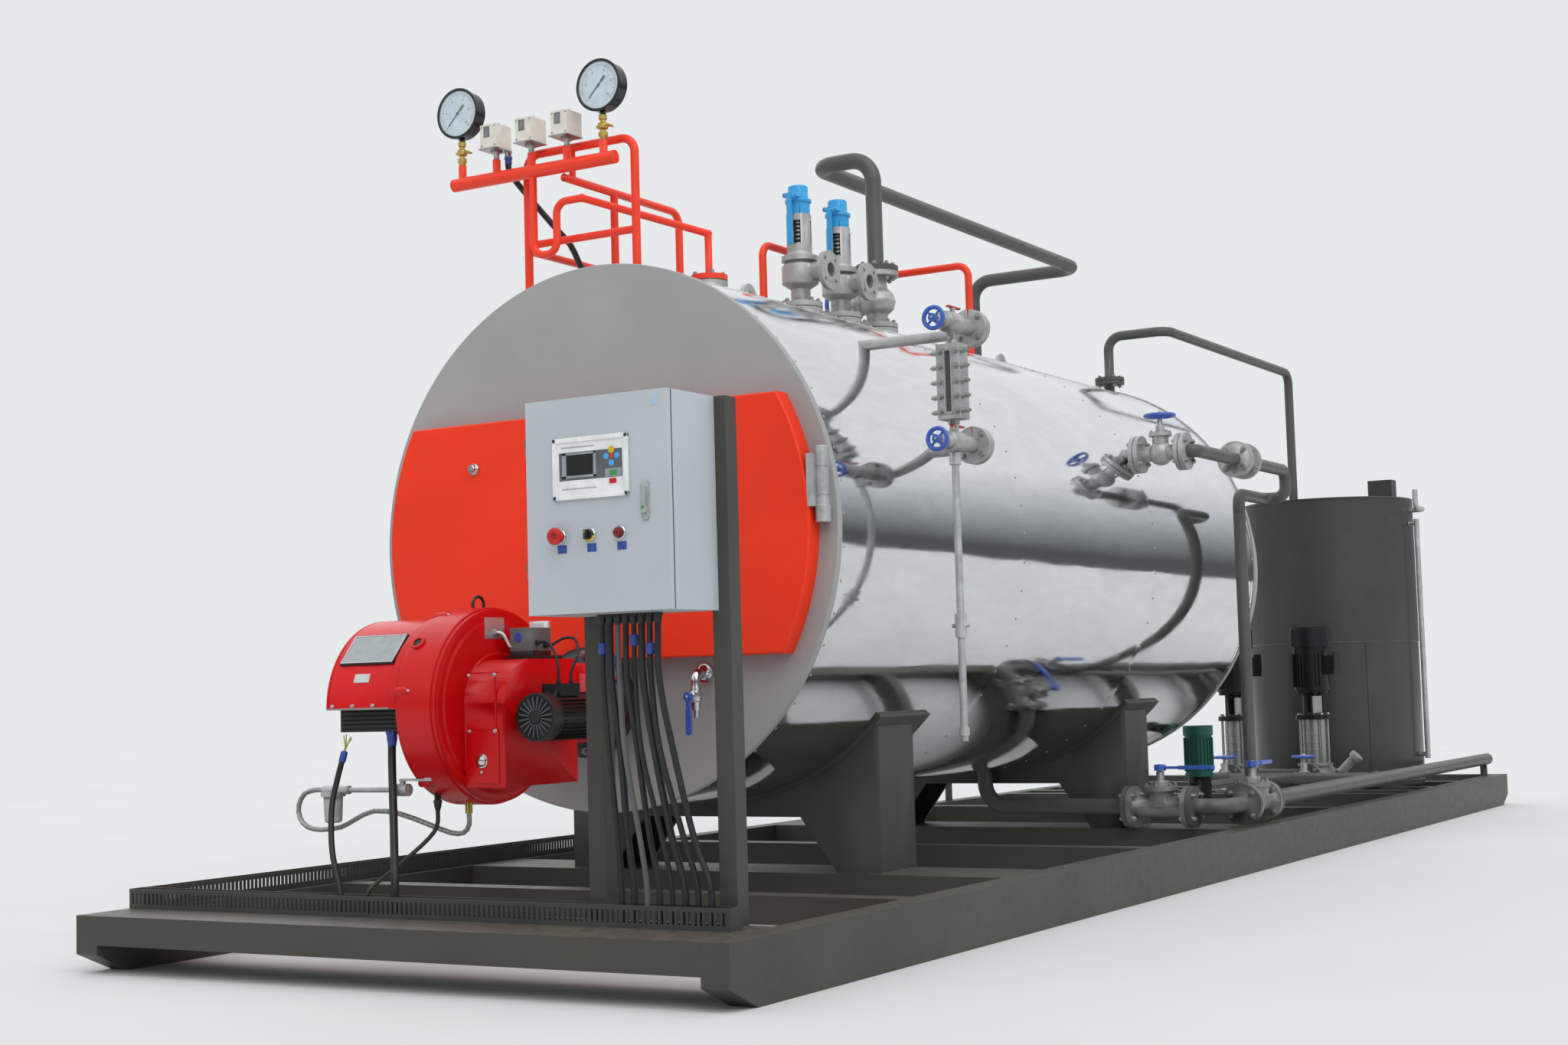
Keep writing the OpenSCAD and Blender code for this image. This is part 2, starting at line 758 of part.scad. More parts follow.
module steam_stop_valve() {
    color("#a9abab") from_front() {
        shell_nozzle(stop_y);
        translate([0, stop_y, safety_z])
            turned([
                [0, safety_flange_d / 2], [18, safety_flange_d / 2], [18, 36], [52, 40], [72, 62], [100, 70],
                [128, 62], [150, 40], [192, 36], [192, steam_flange_d / 2], [210.5, steam_flange_d / 2]
            ]);
        // Bonnet and hand wheel on the far side
        translate([0, stop_y, safety_z + 100]) rotate([0, -90, 0]) {
            cylinder(h = 84, d = 84);
            translate([0, 0, 84]) cylinder(h = 14, d = 118);
            translate([0, 0, 98]) cylinder(h = 92, d = 22);
            translate([0, 0, 172]) hand_wheel(160, 16, 0);
        }
    }
}

steam_joint = [steam_y + 200, steam_far - 200];

module steam_riser() {
    color("#5a5c5a") from_front() {
        bar([0, steam_y, steam_flange_z], [0, steam_y, steam_flange_z + 20], steam_flange_d);
        pipe_run([
            [0, steam_y, steam_flange_z + 10], [0, steam_y, steam_z], [steam_x, steam_y, steam_z],
            [steam_x, steam_joint[0], steam_z]
        ], steam_d, 92);
    }
}

module steam_main() {
    color("#5a5c5a") from_front()
        bar([steam_x, steam_joint[0], steam_z], [steam_x, steam_joint[1], steam_z], steam_d);
}

module steam_drop() {
    color("#5a5c5a") from_front() difference() {
        union() {
            pipe_run([
                [steam_x, steam_joint[1], steam_z], [steam_x, steam_far, steam_z],
                [steam_drop_x, steam_far, steam_z], [steam_drop_x, steam_far, steam_end_z]
            ], steam_d, 92);
            translate([steam_drop_x, steam_far, steam_end_z]) cylinder(h = 20, d = steam_flange_d);
            // Bracket that carries the drop pipe from the left rail
            translate([-rail_in - rail_w / 2 - 4, steam_far - 30, deck_z]) cube([8, 60, 520]);
            translate([-rail_in - rail_w / 2, steam_far - 5, steam_end_z + 120])
                cube([rail_in + rail_w / 2 + steam_drop_x, 10, 60]);
        }
        translate([steam_drop_x, steam_far, steam_end_z - 1]) cylinder(h = 121, d = steam_d - 7.3);
        for (a = [45:90:315])
            translate([steam_drop_x, steam_far, steam_end_z - 1]) rotate([0, 0, a])
                translate([62.5, 0, 0]) cylinder(h = 22, d = 18);
    }
}

// Level gauge

level_y = shell_front + level_in;
level_z = [axis_z + level_up, axis_z + level_up - level_span];
gauge_block_h = 222;
gauge_block_z = (level_z[0] + level_z[1]) / 2;
wheel_out = 112;
flange_back = 135;
level_nozzle_y = level_y + flange_back + 72;

// One gauge valve with its flanges and its nozzle to the shell, side is 1 where its nipple points down
module gauge_valve(z, side) {
    p = [level_x, level_y, z];
    back = [0, 1, 0];
    bar(p - back * 36, p + back * 36, 62);
    bar(p + back * 36, p + back * (flange_back - 17), 48);
    bar(p - back * 66, p - back * 36, 40);
    bar(p - back * (wheel_out - 12), p - back * 66, 22);
    bar(p - back * (wheel_out + 14), p - back * (wheel_out - 12), 7.9);
    flange_pair(p + back * flange_back, back, 112, 16);
    bar(p, p - [0, 0, side * 52], 26);
    off_shell() pipe_run([
        p + back * (flange_back + 16), [level_x, level_nozzle_y, z], [0, level_nozzle_y, z]
    ], 34, 50);
    // Short cock lever on the body
    translate(p + [0, 14, 31]) cylinder(h = 14, d = 16);
    translate(p + [-6, -16, 45]) cube([12, 74, 5]);
}

module gauge_valves() {
    color("#a3a6a6") from_front() {
        gauge_valve(level_z[0], 1);
        gauge_valve(level_z[1], -1);
    }
}

module level_gauge() {
    w = 74;
    d = 60;
    color("#8d9091") from_front() translate([level_x, level_y, gauge_block_z]) {
        difference() {
            union() {
                translate([-w / 2, -d / 2, -gauge_block_h / 2]) cube([w, d, gauge_block_h]);
                for (s = [-1, 1])
                    translate([0, 0, s * (gauge_block_h / 2 + (level_span / 2 - 52 - gauge_block_h / 2) / 2)])
                        cylinder(h = level_span / 2 - 52 - gauge_block_h / 2, d = 34, center = true, $fn = 48);
            }
            translate([-9, -d / 2 - 1, -gauge_block_h / 2 + 22]) cube([18, 12, gauge_block_h - 44]);
            translate([-w / 2 + 16, -1, -gauge_block_h / 2 - 1]) mirror([1, 0, 0]) cube([w, 2, gauge_block_h + 2]);
        }
    }
}

module gauge_wheel(z) {
    translate([level_x, level_y - wheel_out, z]) rotate([90, 0, 0]) hand_wheel(small_wheel_d, 13, 8);
}

module upper_gauge_wheel() {
    color("#3a62b5") from_front() gauge_wheel(level_z[0]);
}

module lower_gauge_wheel() {
    color("#3a62b5") from_front() gauge_wheel(level_z[1]);
}

drain_top = level_z[1] - 31;
drain_bottom = axis_z - shell_r * 0.7804;

module gauge_drain() {
    color("#9a9c9c") from_front() {
        bar([level_x, level_y, drain_top - fit], [level_x, level_y, drain_top - 36], 34);
        bar([level_x, level_y, drain_top - 36], [level_x, level_y, drain_bottom], 22);
        bar([level_x, level_y, drain_top - 470], [level_x, level_y, drain_top - 540], 34);
        bar([level_x, level_y, drain_bottom + 40], [level_x, level_y, drain_bottom + 16], 30);
        bar([level_x - 26, level_y, drain_top - 505], [level_x + 26, level_y, drain_top - 505], 12);
    }
}

// Feed line

feed_y = shell_front + feed_in;
feed_z = axis_z + feed_up;
valve_half = 88;
// The flange's lower edge stands clear of the cladding
feed_cx = round(shell_side(feed_z - feed_flange_d / 2) + valve_half + 21.5);
feed_bend = 44;
feed_x = max(feed_cx + valve_half + 46, riser_x + 2 * feed_bend + 4);
check_y = feed_y + check_out;
riser_y = feed_y + riser_out;
return_y = feed_y + return_out;
feed_low = deck_z + main_up;

module feed_valve() {
    u = [1, 0, 0];
    c = [feed_cx, feed_y, feed_z];
    color("#b0b2b0") from_front() {
        off_shell() bar([0, feed_y, feed_z], c - u * (valve_half + 16), feed_d);
        flange_pair(c - u * valve_half, u, feed_flange_d, 16);
        flange_pair(c + u * valve_half, u, feed_flange_d, 16);
        bar(c - u * (valve_half - 16), c + u * (valve_half - 16), 58);
        translate(c) sphere(d = 92);
        translate(c) cylinder(h = 62, d = 60);
        translate(c + [0, 0, 62]) cylinder(h = 14, d = 84);
        translate(c + [0, 0, 76]) cylinder(h = 26, d = 34);
        translate(c + [0, 0, 102]) cylinder(h = 25, d = 18);
        translate(c + [0, 0, 127]) cylinder(h = 30, d = 7.9);
    }
}

module feed_wheel() {
    color("#3a62b5") from_front() translate([feed_cx, feed_y, feed_z + 140]) hand_wheel(wheel_d, 14, 8);
}

module feed_pipe() {
    start = feed_cx + valve_half + 17.5;
    color("#5f615f") from_front() {
        pipe_run([
            [start + 0.5, feed_y, feed_z], [feed_x, feed_y, feed_z], [feed_x, check_y - 58, feed_z]
        ], feed_d, 27);
        bar([feed_x, check_y - 58, feed_z], [feed_x, check_y - 40, feed_z], feed_flange_d);
        bar([feed_x, check_y - 40, feed_z], [feed_x, check_y + 40, feed_z], feed_flange_d * 0.72);
        bar([feed_x, check_y + 40, feed_z], [feed_x, check_y + 58, feed_z], feed_flange_d);
        pipe_run([
            [feed_x, check_y + 58, feed_z], [feed_x, return_y, feed_z], [feed_x, return_y, feed_z - 110],
            [riser_x, return_y, feed_z - 110], [riser_x, riser_y, feed_z - 110],
            [riser_x, riser_y, feed_z - 190]
        ], feed_d, feed_bend);
    }
}

module feed_riser() {
    color("#5f615f") from_front() {
        pipe_run([
            [riser_x, riser_y, feed_z - 190], [riser_x, riser_y, feed_low], [riser_x, discharge_y + 60, feed_low]
        ], feed_d, 70);
        // Elbow fitting where the line meets the pump main
        bar([riser_x, discharge_y + 60, feed_low], [riser_x, discharge_y - 30, feed_low], feed_d + 8);
    }
}

vent_x = 125;
vent_y = shell_back + 165;
vent_z = axis_z + vent_up;
vent_right = 400;
vent_end = tank_y - tank_r + 46;
vent_flange_z = axis_z + vent_flange_up;
tank_top = deck_z + tank_h;

module vent_riser() {
    color("#5a5c5a") from_front() {
        difference() {
            bar([vent_x, vent_y, axis_z], [vent_x, vent_y, vent_flange_z], vent_d);
            translate([0, shell_back - 20, axis_z]) rotate([-90, 0, 0]) cylinder(h = smokebox_l + 60, r = smokebox_r + fit, $fn = 96);
        }
        flange_pair([vent_x, vent_y, vent_flange_z], [0, 0, 1], 128, 14);
        pipe_run([
            [vent_x, vent_y, vent_flange_z + 14], [vent_x, vent_y, vent_z], [vent_right, vent_y, vent_z],
            [vent_right, vent_y + 120, vent_z]
        ], vent_d, 62);
    }
}

module vent_pipe() {
    color("#5a5c5a") from_front()
        pipe_run([
            [vent_right, vent_y + 120, vent_z], [vent_right, vent_end, vent_z], [vent_right, vent_end, tank_top + fit]
        ], vent_d, 62);
}

// Feed tank

lid_t = 8;

module feed_tank() {
    color("#55574f") from_front() translate([tank_x, tank_y, deck_z]) difference() {
        cylinder(h = tank_h - lid_t, r = tank_r, $fn = 96);
        translate([0, 0, 8]) cylinder(h = tank_h, r = tank_r - tank_wall, $fn = 96);
    }
}

module tank_lid() {
    color("#55574f") from_front() translate([tank_x, tank_y, deck_z + tank_h - lid_t]) {
        cylinder(h = lid_t, r = tank_r, $fn = 96);
    }
}

module tank_fittings() {
    side = tank_x + tank_r;
    color("#4b4d49") from_front() {
        translate([tank_x + tank_r * 0.55, tank_y - 60, tank_top + fit]) cube([120, 90, 96]);
        // Overflow with its small valve
        pipe_run([
            [side + fit, tank_y, tank_top - 62], [side + 70, tank_y, tank_top - 62],
            [side + 70, tank_y - 150, tank_top - 62], [side + 70, tank_y - 150, tank_top + 30]
        ], 26, 30);
        // Sight tube down the side
        for (z = [deck_z + 150, tank_top - 130])
            bar([side + fit, tank_y - 30, z], [side + 40, tank_y - 30, z], 22);
        bar([side + 40, tank_y - 30, deck_z + 130], [side + 40, tank_y - 30, tank_top - 110], 26);
    }
}

// Pumps

pump_xs = [pump_x - pump_pitch, pump_x];
pump_base_h = 66;
port_z = feed_low;
sleeve_z = deck_z + pump_base_h + 60;
bracket_z = deck_z + pump_h * 0.44;
port_out = 110;

module feed_pump(x) {
    translate([x, pump_y, deck_z]) {
        translate([-95, -75, 0]) cube([190, 150, 14]);
        translate([0, 0, 14]) cylinder(h = pump_base_h + 46, d = 128);
        for (s = [-1, 1]) {
            bar([0, 0, port_z - deck_z], [0, s * port_out, port_z - deck_z], 60);
            bar([0, s * (port_out - 16), port_z - deck_z], [0, s * port_out, port_z - deck_z], 118);
        }
        translate([0, 0, pump_base_h + 60]) cylinder(h = 12, d = 168);
        translate([0, 0, pump_base_h + 72]) cylinder(h = pump_h * 0.44 - pump_base_h - 72, d = 108);
        for (a = [45:90:315])
            rotate([0, 0, a]) translate([72, 0, pump_base_h + 64]) cylinder(h = pump_h * 0.44 - pump_base_h - 30, d = 13);
        translate([0, 0, pump_h * 0.44]) cylinder(h = 22, d = 168);
        translate([0, 0, pump_h * 0.44 + 22]) difference() {
            cylinder(h = pump_h * 0.13, d = 96);
            for (a = [0, 90]) rotate([0, 0, a]) translate([-60, -18, 12]) cube([120, 36, pump_h * 0.13 - 26]);
        }
    }
}

module feed_pumps() {
    color("#b9bbb8") from_front() for (x = pump_xs) feed_pump(x);
}

module pump_motors() {
    base = deck_z + pump_h * 0.57 + 22;
    h = deck_z + pump_h - base;
    color("#1e1f21") from_front()
        for (x = pump_xs) translate([x, pump_y, base]) {
            cylinder(h = 16, d = pump_motor_d * 0.8);
            translate([0, 0, 16]) cylinder(h = h * 0.66, d = pump_motor_d * 0.88);
            translate([0, 0, 16 + h * 0.66]) cylinder(h = h * 0.34 - 16, d = pump_motor_d);
            translate([pump_motor_d * 0.38, -50, h * 0.28]) cube([52, 100, 90]);
        }
}

transfer = [300, shell_back + 615, deck_z];

module transfer_pump() {
    color("#1d7a6c") from_front() translate(transfer) {
        translate([-60, -60, 0]) cube([120, 120, 10]);
        translate([0, 0, 10]) cylinder(h = 110, d = 100);
        translate([0, 0, 120]) cylinder(h = 14, d = 130);
        translate([0, 0, 134]) cylinder(h = 170, d = 122);
        translate([0, 0, 304]) cylinder(h = 44, d = 134);
        for (s = [-1, 1]) bar([0, 0, 70], [0, s * 90, 70], 50);
    }
}

suction_y = pump_y + 205;
discharge_y = pump_y - 233;

module pump_pipes() {
    color("#5f615f") from_front() {
        bar([pump_xs[0] - 30, discharge_y, port_z], [riser_x - feed_d / 2 - 4 - fit, discharge_y, port_z], feed_d);
        bar([pump_xs[0] - 30, suction_y, port_z], [pump_xs[1] + 90, suction_y, port_z], feed_d);
        // Tees where the pump branches leave the two mains
        for (x = pump_xs)
            for (y = [discharge_y, suction_y])
                bar([x - 34, y, port_z], [x + 34, y, port_z], feed_d + 10);
        for (x = pump_xs) {
            bar([x, pump_y - port_out - fit, port_z], [x, pump_y - port_out - 16, port_z], 118);
            bar([x, pump_y - port_out - 10, port_z], [x, discharge_y, port_z], feed_d - 4);
            bar([x, pump_y + port_out + fit, port_z], [x, pump_y + port_out + 16, port_z], 118);
            bar([x, pump_y + port_out + 10, port_z], [x, suction_y, port_z], feed_d - 4);
            // Small stop valve with its hand wheel
            translate([x, discharge_y + 44, port_z]) {
                sphere(d = 74);
                cylinder(h = 70, d = 34);
                cylinder(h = 112, d = 14);
                translate([0, 0, 98]) hand_wheel(110, 13, 0);
            }
        }
        // Strainer with its slanted basket at the right end of the suction main
        translate([pump_xs[1] + 56, suction_y, port_z]) rotate([0, 45, 0]) {
            cylinder(h = 120, d = 46);
            translate([0, 0, 104]) cylinder(h = 22, d = 64);
        }
        difference() {
            bar([tank_x, suction_y, port_z], [tank_x, tank_y, port_z], feed_d - 4);
            translate([tank_x, tank_y, deck_z - 1]) cylinder(h = tank_h, r = tank_r + fit, $fn = 96);
        }
        pipe_run([
            transfer + [0, 90 + fit, 70], [transfer.x, discharge_y, transfer.z + 70]
        ], 42, 40);
    }
}

// Blowdown

blow_y = rear_saddle_y - 50;
blow_z = deck_z + blow_flange_d / 2 + 7;
quick_x = side_pipe_x - 257;
quick_half = 118;
side_pipe_r = 30;
slow_y = blow_y + 300;
slow_half = 122;
blow_flange_t = 18;

// Body of a blowdown valve along Y, with its bonnet on top
module blowdown_body(half) {
    u = [0, 1, 0];
    bar(-u * half, -u * (half - 20), blow_flange_d);
    bar(u * (half - 20), u * half, blow_flange_d);
    bar(-u * (half - 20), u * (half - 20), 84);
    cylinder(h = 74, d = 96);
    translate([0, 0, 60]) cylinder(h = 18, d = 130);
    translate([0, 0, 78]) cylinder(h = 20, d = 60);
    translate([0, 0, 98]) cylinder(h = 35, d = 30);
    translate([0, 0, 133]) cylinder(h = 26, d = 15.9);
}

module blowdown_valves() {
    color("#8b8e8c") from_front() {
        translate([quick_x, blow_y, blow_z]) rotate([0, 0, -90]) blowdown_body(quick_half);
        translate([side_pipe_x, slow_y, blow_z]) blowdown_body(slow_half);
    }
}

// A lever with its hub on Z and its handle along +X
module lever(l, hub, bore) {
    w = hub * 0.6;
    difference() {
        union() {
            cylinder(h = hub / 2, d = hub);
            translate([hub * 0.3, -w * 0.4, hub * 0.14]) cube([l * 0.35, w * 0.8, hub * 0.22]);
            translate([l * 0.35, -w / 2, hub * 0.09]) cube([l * 0.65 - w / 2, w, hub * 0.32]);
            translate([l - w / 2, 0, hub * 0.09]) cylinder(h = hub * 0.32, d = w);
        }
        translate([0, 0, -1]) cylinder(h = hub, d = bore);
    }
}

module quick_lever() {
    color("#2b4fae") from_front() translate([quick_x, blow_y, blow_z + 135]) lever(lever_l, 44, 16);
}

module slow_lever() {
    color("#2b4fae") from_front() translate([side_pipe_x, slow_y, blow_z + 135]) rotate([0, 0, 90]) lever(lever_l, 44, 16);
}

module blowdown_pipes() {
    color("#4c4e4b") from_front() {
        difference() {
            pipe_run([
                [0, blow_y, axis_z - shell_r + 40], [0, blow_y, blow_z],
                [quick_x - quick_half - blow_flange_t, blow_y, blow_z]
            ], 2 * side_pipe_r, 90);
            translate([0, shell_front, axis_z]) rotate([-90, 0, 0]) cylinder(h = shell_l, r = shell_r + fit, $fn = 96);
        }
        pipe_run([
            [quick_x + quick_half + blow_flange_t, blow_y, blow_z], [side_pipe_x, blow_y, blow_z],
            [side_pipe_x, slow_y - slow_half - blow_flange_t, blow_z]
        ], 2 * side_pipe_r, 70);
        bar([side_pipe_x, slow_y + slow_half + blow_flange_t, blow_z], [side_pipe_x, skid_l - 90, blow_z], 2 * side_pipe_r);
        // Companion flanges of the two valves
        for (s = [-1, 1]) {
            bar([quick_x + s * (quick_half + 0.5), blow_y, blow_z], [quick_x + s * (quick_half + blow_flange_t + 2), blow_y, blow_z], blow_flange_d);
            bar([side_pipe_x, slow_y + s * (slow_half + 0.5), blow_z], [side_pipe_x, slow_y + s * (slow_half + blow_flange_t + 2), blow_z], blow_flange_d);
        }
        // Post that carries the rear end of the side pipe
        translate([side_pipe_x - 15, skid_l - 190, deck_z]) cube([30, 30, blow_z - side_pipe_r - deck_z + 6]);
    }
}

// Burner

scroll_left = -scroll_w;
hood_r = scroll_r - 10;

fan_box_y = burner_y - 148;
fan_box_z = burner_z - 216;
fan_box_r = 120;
fan_box_h = 340;

// Box beside the scroll that guides the air to the fan
module fan_box() {
    w = fan_box_w;
    translate([-2, fan_box_y, fan_box_z]) {
        rotate([90, 0, 90]) linear_extrude(w + 2) union() {
            translate([0, 0]) square([fan_box_d, fan_box_h - fan_box_r]);
            translate([fan_box_r, fan_box_h - fan_box_r]) circle(r = fan_box_r);
            translate([fan_box_r, 0]) square([fan_box_d - fan_box_r, fan_box_h]);
        }
        // Raised frame and latch plate on the front
        translate([16, -5, 12]) cube([w - 34, 6, 140]);
    }
}

gland = [-110, burner_y - 132, burner_z - 258];
nipple = [-60, burner_y - 62, burner_z - 290];

module burner_housing() {
    neck_y = burner_y + fan_box_d - 142;
    color("#c8101e") from_front() {
        translate([scroll_left, burner_y, burner_z]) rotate([0, 90, 0]) {
            cylinder(h = scroll_w, r = scroll_r, $fn = 96);
            translate([0, 0, 16]) cylinder(h = scroll_w - 34, r = scroll_r + 5, $fn = 96);
        }
        translate([-blast_d / 2 + 20, neck_y, burner_z - blast_d / 2 + 10]) cube([blast_d - 60, 110, blast_d - 20]);
        bar([0, neck_y + 90, burner_z], [0, door_face - fit, burner_z], blast_d);
        bar([0, door_face - 28, burner_z], [0, door_face - fit, burner_z], blast_d + 90);
        fan_box();
        // Lifting ring on top
        translate([scroll_left / 2, burner_y + 6, burner_z + scroll_r + 14]) rotate([0, 90, 0])
            rotate_extrude() translate([24, 0]) circle(d = 9);
        // Screw lugs round the two halves of the scroll
        for (a = [20:60:320])
            translate([scroll_left + 4, burner_y, burner_z]) rotate([a, 0, 0]) translate([0, 0, scroll_r - 2])
                rotate([0, 90, 0]) cylinder(h = 40, d = 26);
        // Cable gland and oil nipple under the fan scroll
        bar([gland.x, gland.y, gland.z], [gland.x, gland.y, gland.z + 60], 18);
        bar([nipple.x, nipple.y, nipple.z], [nipple.x, nipple.y, nipple.z + 60], 20);
    }
}

module burner_hood() {
    w = hood_w;
    color("#cf1320") from_front() translate([scroll_left - w - fit, burner_y, burner_z]) difference() {
        union() {
            rotate([0, 90, 0]) cylinder(h = w, r = hood_r - 8, $fn = 96);
            translate([w - 36, 0, 0]) rotate([0, 90, 0]) cylinder(h = 36, r = hood_r, $fn = 96);
        }
        translate([-1, -scroll_r - 1, -scroll_r - 1]) cube([w + 2, 2 * scroll_r + 2, scroll_r + 1]);
        translate([-1, hood_r * 0.55, -1]) cube([w + 2, scroll_r, scroll_r + 2]);
        translate([8, 0, -1]) rotate([0, 90, 0]) cylinder(h = w - 16, r = hood_r - 16, $fn = 96);
    }
}

motor_x = fan_box_w + burner_motor_d / 2 + 14;
motor_front = burner_y - 118;
motor_z = burner_z - 33;

module burner_motor() {
    d = burner_motor_d;
    color("#1d1e20") from_front() {
        translate([motor_x, motor_front, motor_z]) rotate([-90, 0, 0]) {
            difference() {
                cylinder(h = 42, d = d);
                for (a = [0:18:342])
                    rotate([0, 0, a]) translate([d * 0.14, -2, -1]) cube([d * 0.3, 4, 5]);
            }
            translate([0, 0, 42]) cylinder(h = 170, d = d - 12);
            translate([0, 0, 212]) cylinder(h = 16, d = d);
        }
        translate([fan_box_w + fit + fit, motor_front + 60, motor_z - 40]) cube([24, 120, 80]);
        translate([motor_x - 30, motor_front + 70, motor_z + d / 2 - 10]) cube([60, 90, 34]);
    }
}

grille_z = burner_z - 62;

module burner_controls() {
    z = fan_box_z + fan_box_h;
    color("#2a2b2e") from_front() {
        translate([30, fan_box_y + 150, z + fit]) cube([90, 130, 10]);
        translate([34, fan_box_y + 160, z + 10]) cube([76, 84, 76]);
        translate([34, fan_box_y + 248, z + 10]) cube([50, 28, 96]);
        // Air inlet grille under the hood
        translate([scroll_left - hood_w, burner_y - 190, grille_z]) cube([hood_w - fit, 300, burner_z - grille_z - fit]);
    }
}

filter = [-440, burner_y - 182, burner_z - 310];

module fuel_filter() {
    z = filter.z + 76;
    color("#b7babc") from_front() {
        translate(filter) turned([[0, 18], [4, 24], [72, 27], [72, 34], [84, 34]]);
        bar([filter.x - 34, filter.y, z + 14], [filter.x + 60, filter.y, z + 14], 24);
        bar([filter.x + 60, filter.y, z + 14], [-186, filter.y, z + 14], 14);
        bar([-210, filter.y, z + 14], [-168, filter.y, z + 14], 34);
        bar([-189, filter.y, z + 14], [-189, filter.y, z + 44], 16);
        // Bracket from the fan scroll to the shut-off cock
        difference() {
            union() {
                translate([-192, filter.y - 12, z + 38]) cube([112, 24, 6]);
                translate([-104, filter.y - 12, z + 38]) cube([24, 24, 120]);
            }
            translate([scroll_left - 1, burner_y, burner_z]) rotate([0, 90, 0]) cylinder(h = scroll_w + 2, r = scroll_r + 5 + fit, $fn = 96);
        }
    }
}

// Cabinet

cab_back = stand_y - fit;
cab_front = cab_back - cab_d;
gap = 5;
cab_hinge = [cab_x - 7, cab_front - gap, cab_z];
pin_d = 6;

module cabinet_box() {
    color("#b3bdc3") from_front() {
        translate([cab_x, cab_front, cab_z]) difference() {
            cube([cab_w, cab_d, cab_h]);
            translate([cab_wall, -1, cab_wall]) cube([cab_w - 2 * cab_wall, cab_d + 1 - cab_wall, cab_h - 2 * cab_wall]);
        }
        // Fixed halves of the hinges
        for (z = [90, cab_h - 130])
            translate([cab_hinge.x, cab_hinge.y, cab_z + z]) {
                cylinder(h = 18, d = 12);
                cylinder(h = 38, d = pin_d);
                translate([0, 0, 0]) cube([7, 26, 18]);
            }
        // Cable glands under the box
        for (i = [0:7])
            translate([cab_x + 135 + i * 23.5, cab_front + 96, cab_z - 22]) cylinder(h = 22, d = 20);
    }
}

module cabinet_door() {
    color("#b3bdc3") from_front() {
        translate([cab_x + 2, cab_front - gap - cab_door_t, cab_z]) difference() {
            cube([cab_w - 2, cab_door_t, cab_h]);
            translate([cab_wall, cab_wall, cab_wall]) cube([cab_w - 2 - 2 * cab_wall, cab_door_t, cab_h - 2 * cab_wall]);
        }
        // Moving halves of the hinges
        for (z = [90, cab_h - 130])
            translate([cab_hinge.x, cab_hinge.y, cab_z + z + 19]) difference() {
                union() {
                    cylinder(h = 20, d = 12);
                    translate([0, -cab_door_t + 6, 0]) cube([9, 12, 20]);
                }
                translate([0, 0, -1]) cylinder(h = 30, d = pin_d + 0.1);
            }
    }
}

module control_panel() {
    front = cab_front - gap - cab_door_t;
    hmi = [cab_x + 87, cab_z + 275];
    color("#e4e6e6") from_front() {
        // Operator panel with its recessed screen
        translate([hmi.x, front - 6 - fit, hmi.y]) difference() {
            cube([223, 6, 151]);
            translate([34, -1, 52]) cube([96, 4, 64]);
        }
        // Stop button, selector and lamp
        for (i = [0:2])
            translate([cab_x + 103 + i * 88, front - fit, cab_z + 188]) rotate([90, 0, 0]) {
                cylinder(h = 6, d = 34);
                cylinder(h = i == 0 ? 26 : 14, d = i == 0 ? 22 : 26);
                if (i == 0) translate([0, 0, 20]) cylinder(h = 12, d = 42);
            }
        // Latch handle
        translate([cab_x + 344, front - 14 - fit, cab_z + 212]) cube([20, 14, 88]);
    }
}

module cabinet_stand() {
    color("#575850") from_front()
        for (x = [cab_x + 15, cab_x + cab_w - 18])
            translate([x, stand_y, deck_z]) cube([post_w, post_w, cab_z + cab_h - deck_z]);
}

// Drain on the front head

drain = [365, shell_front - 60, axis_z - 412];

module head_drain() {
    color("#c9cccd") from_front() {
        bar([drain.x, shell_front - fit, drain.z], [drain.x, shell_front - 14, drain.z], 56);
        pipe_run([[drain.x, shell_front - 14, drain.z], drain, drain - [0, 0, 40]], 26, 24);
        translate(drain - [0, 0, 104]) turned([[0, 14], [22, 14], [26, 19], [50, 19], [54, 15], [64, 15]]);
        bar(drain - [0, 12, 66], drain - [0, 31, 66], 14);
        bar(drain - [0, 31, 66], drain - [0, 48, 66], 7.9);
        translate(drain - [0, 0, 126]) cylinder(h = 22, d = 20);
    }
}

module drain_lever() {
    color("#2b4fae") from_front() translate(drain - [0, 32, 66]) rotate([90, 90, 0]) lever(108, 26, 8);
}

// Free cables and hoses

// A round tube along points, with rings square to the route
module cord(pts, d) {
    sides = 8;
    last = len(pts) - 1;
    dirs = [for (i = [0:last]) unit(pts[min(i + 1, last)] - pts[max(i - 1, 0)])];
    rings = [for (i = [0:last]) let (
        u = dirs[i],
        a = unit(cross(u, abs(u.z) < 0.9 ? [0, 0, 1] : [0, 1, 0])),
        b = cross(u, a)
    ) for (k = [0:sides - 1]) pts[i] + (a * cos(k * 360 / sides) + b * sin(k * 360 / sides)) * d / 2];
    faces = concat(
        [[for (k = [sides - 1:-1:0]) k]],
        [for (i = [0:last - 1]) for (k = [0:sides - 1])
            [i * sides + k, i * sides + (k + 1) % sides, (i + 1) * sides + (k + 1) % sides, (i + 1) * sides + k]],
        [[for (k = [0:sides - 1]) last * sides + k]]
    );
    polyhedron(rings, faces);
}

tray_floor = deck_z + tray_wall;

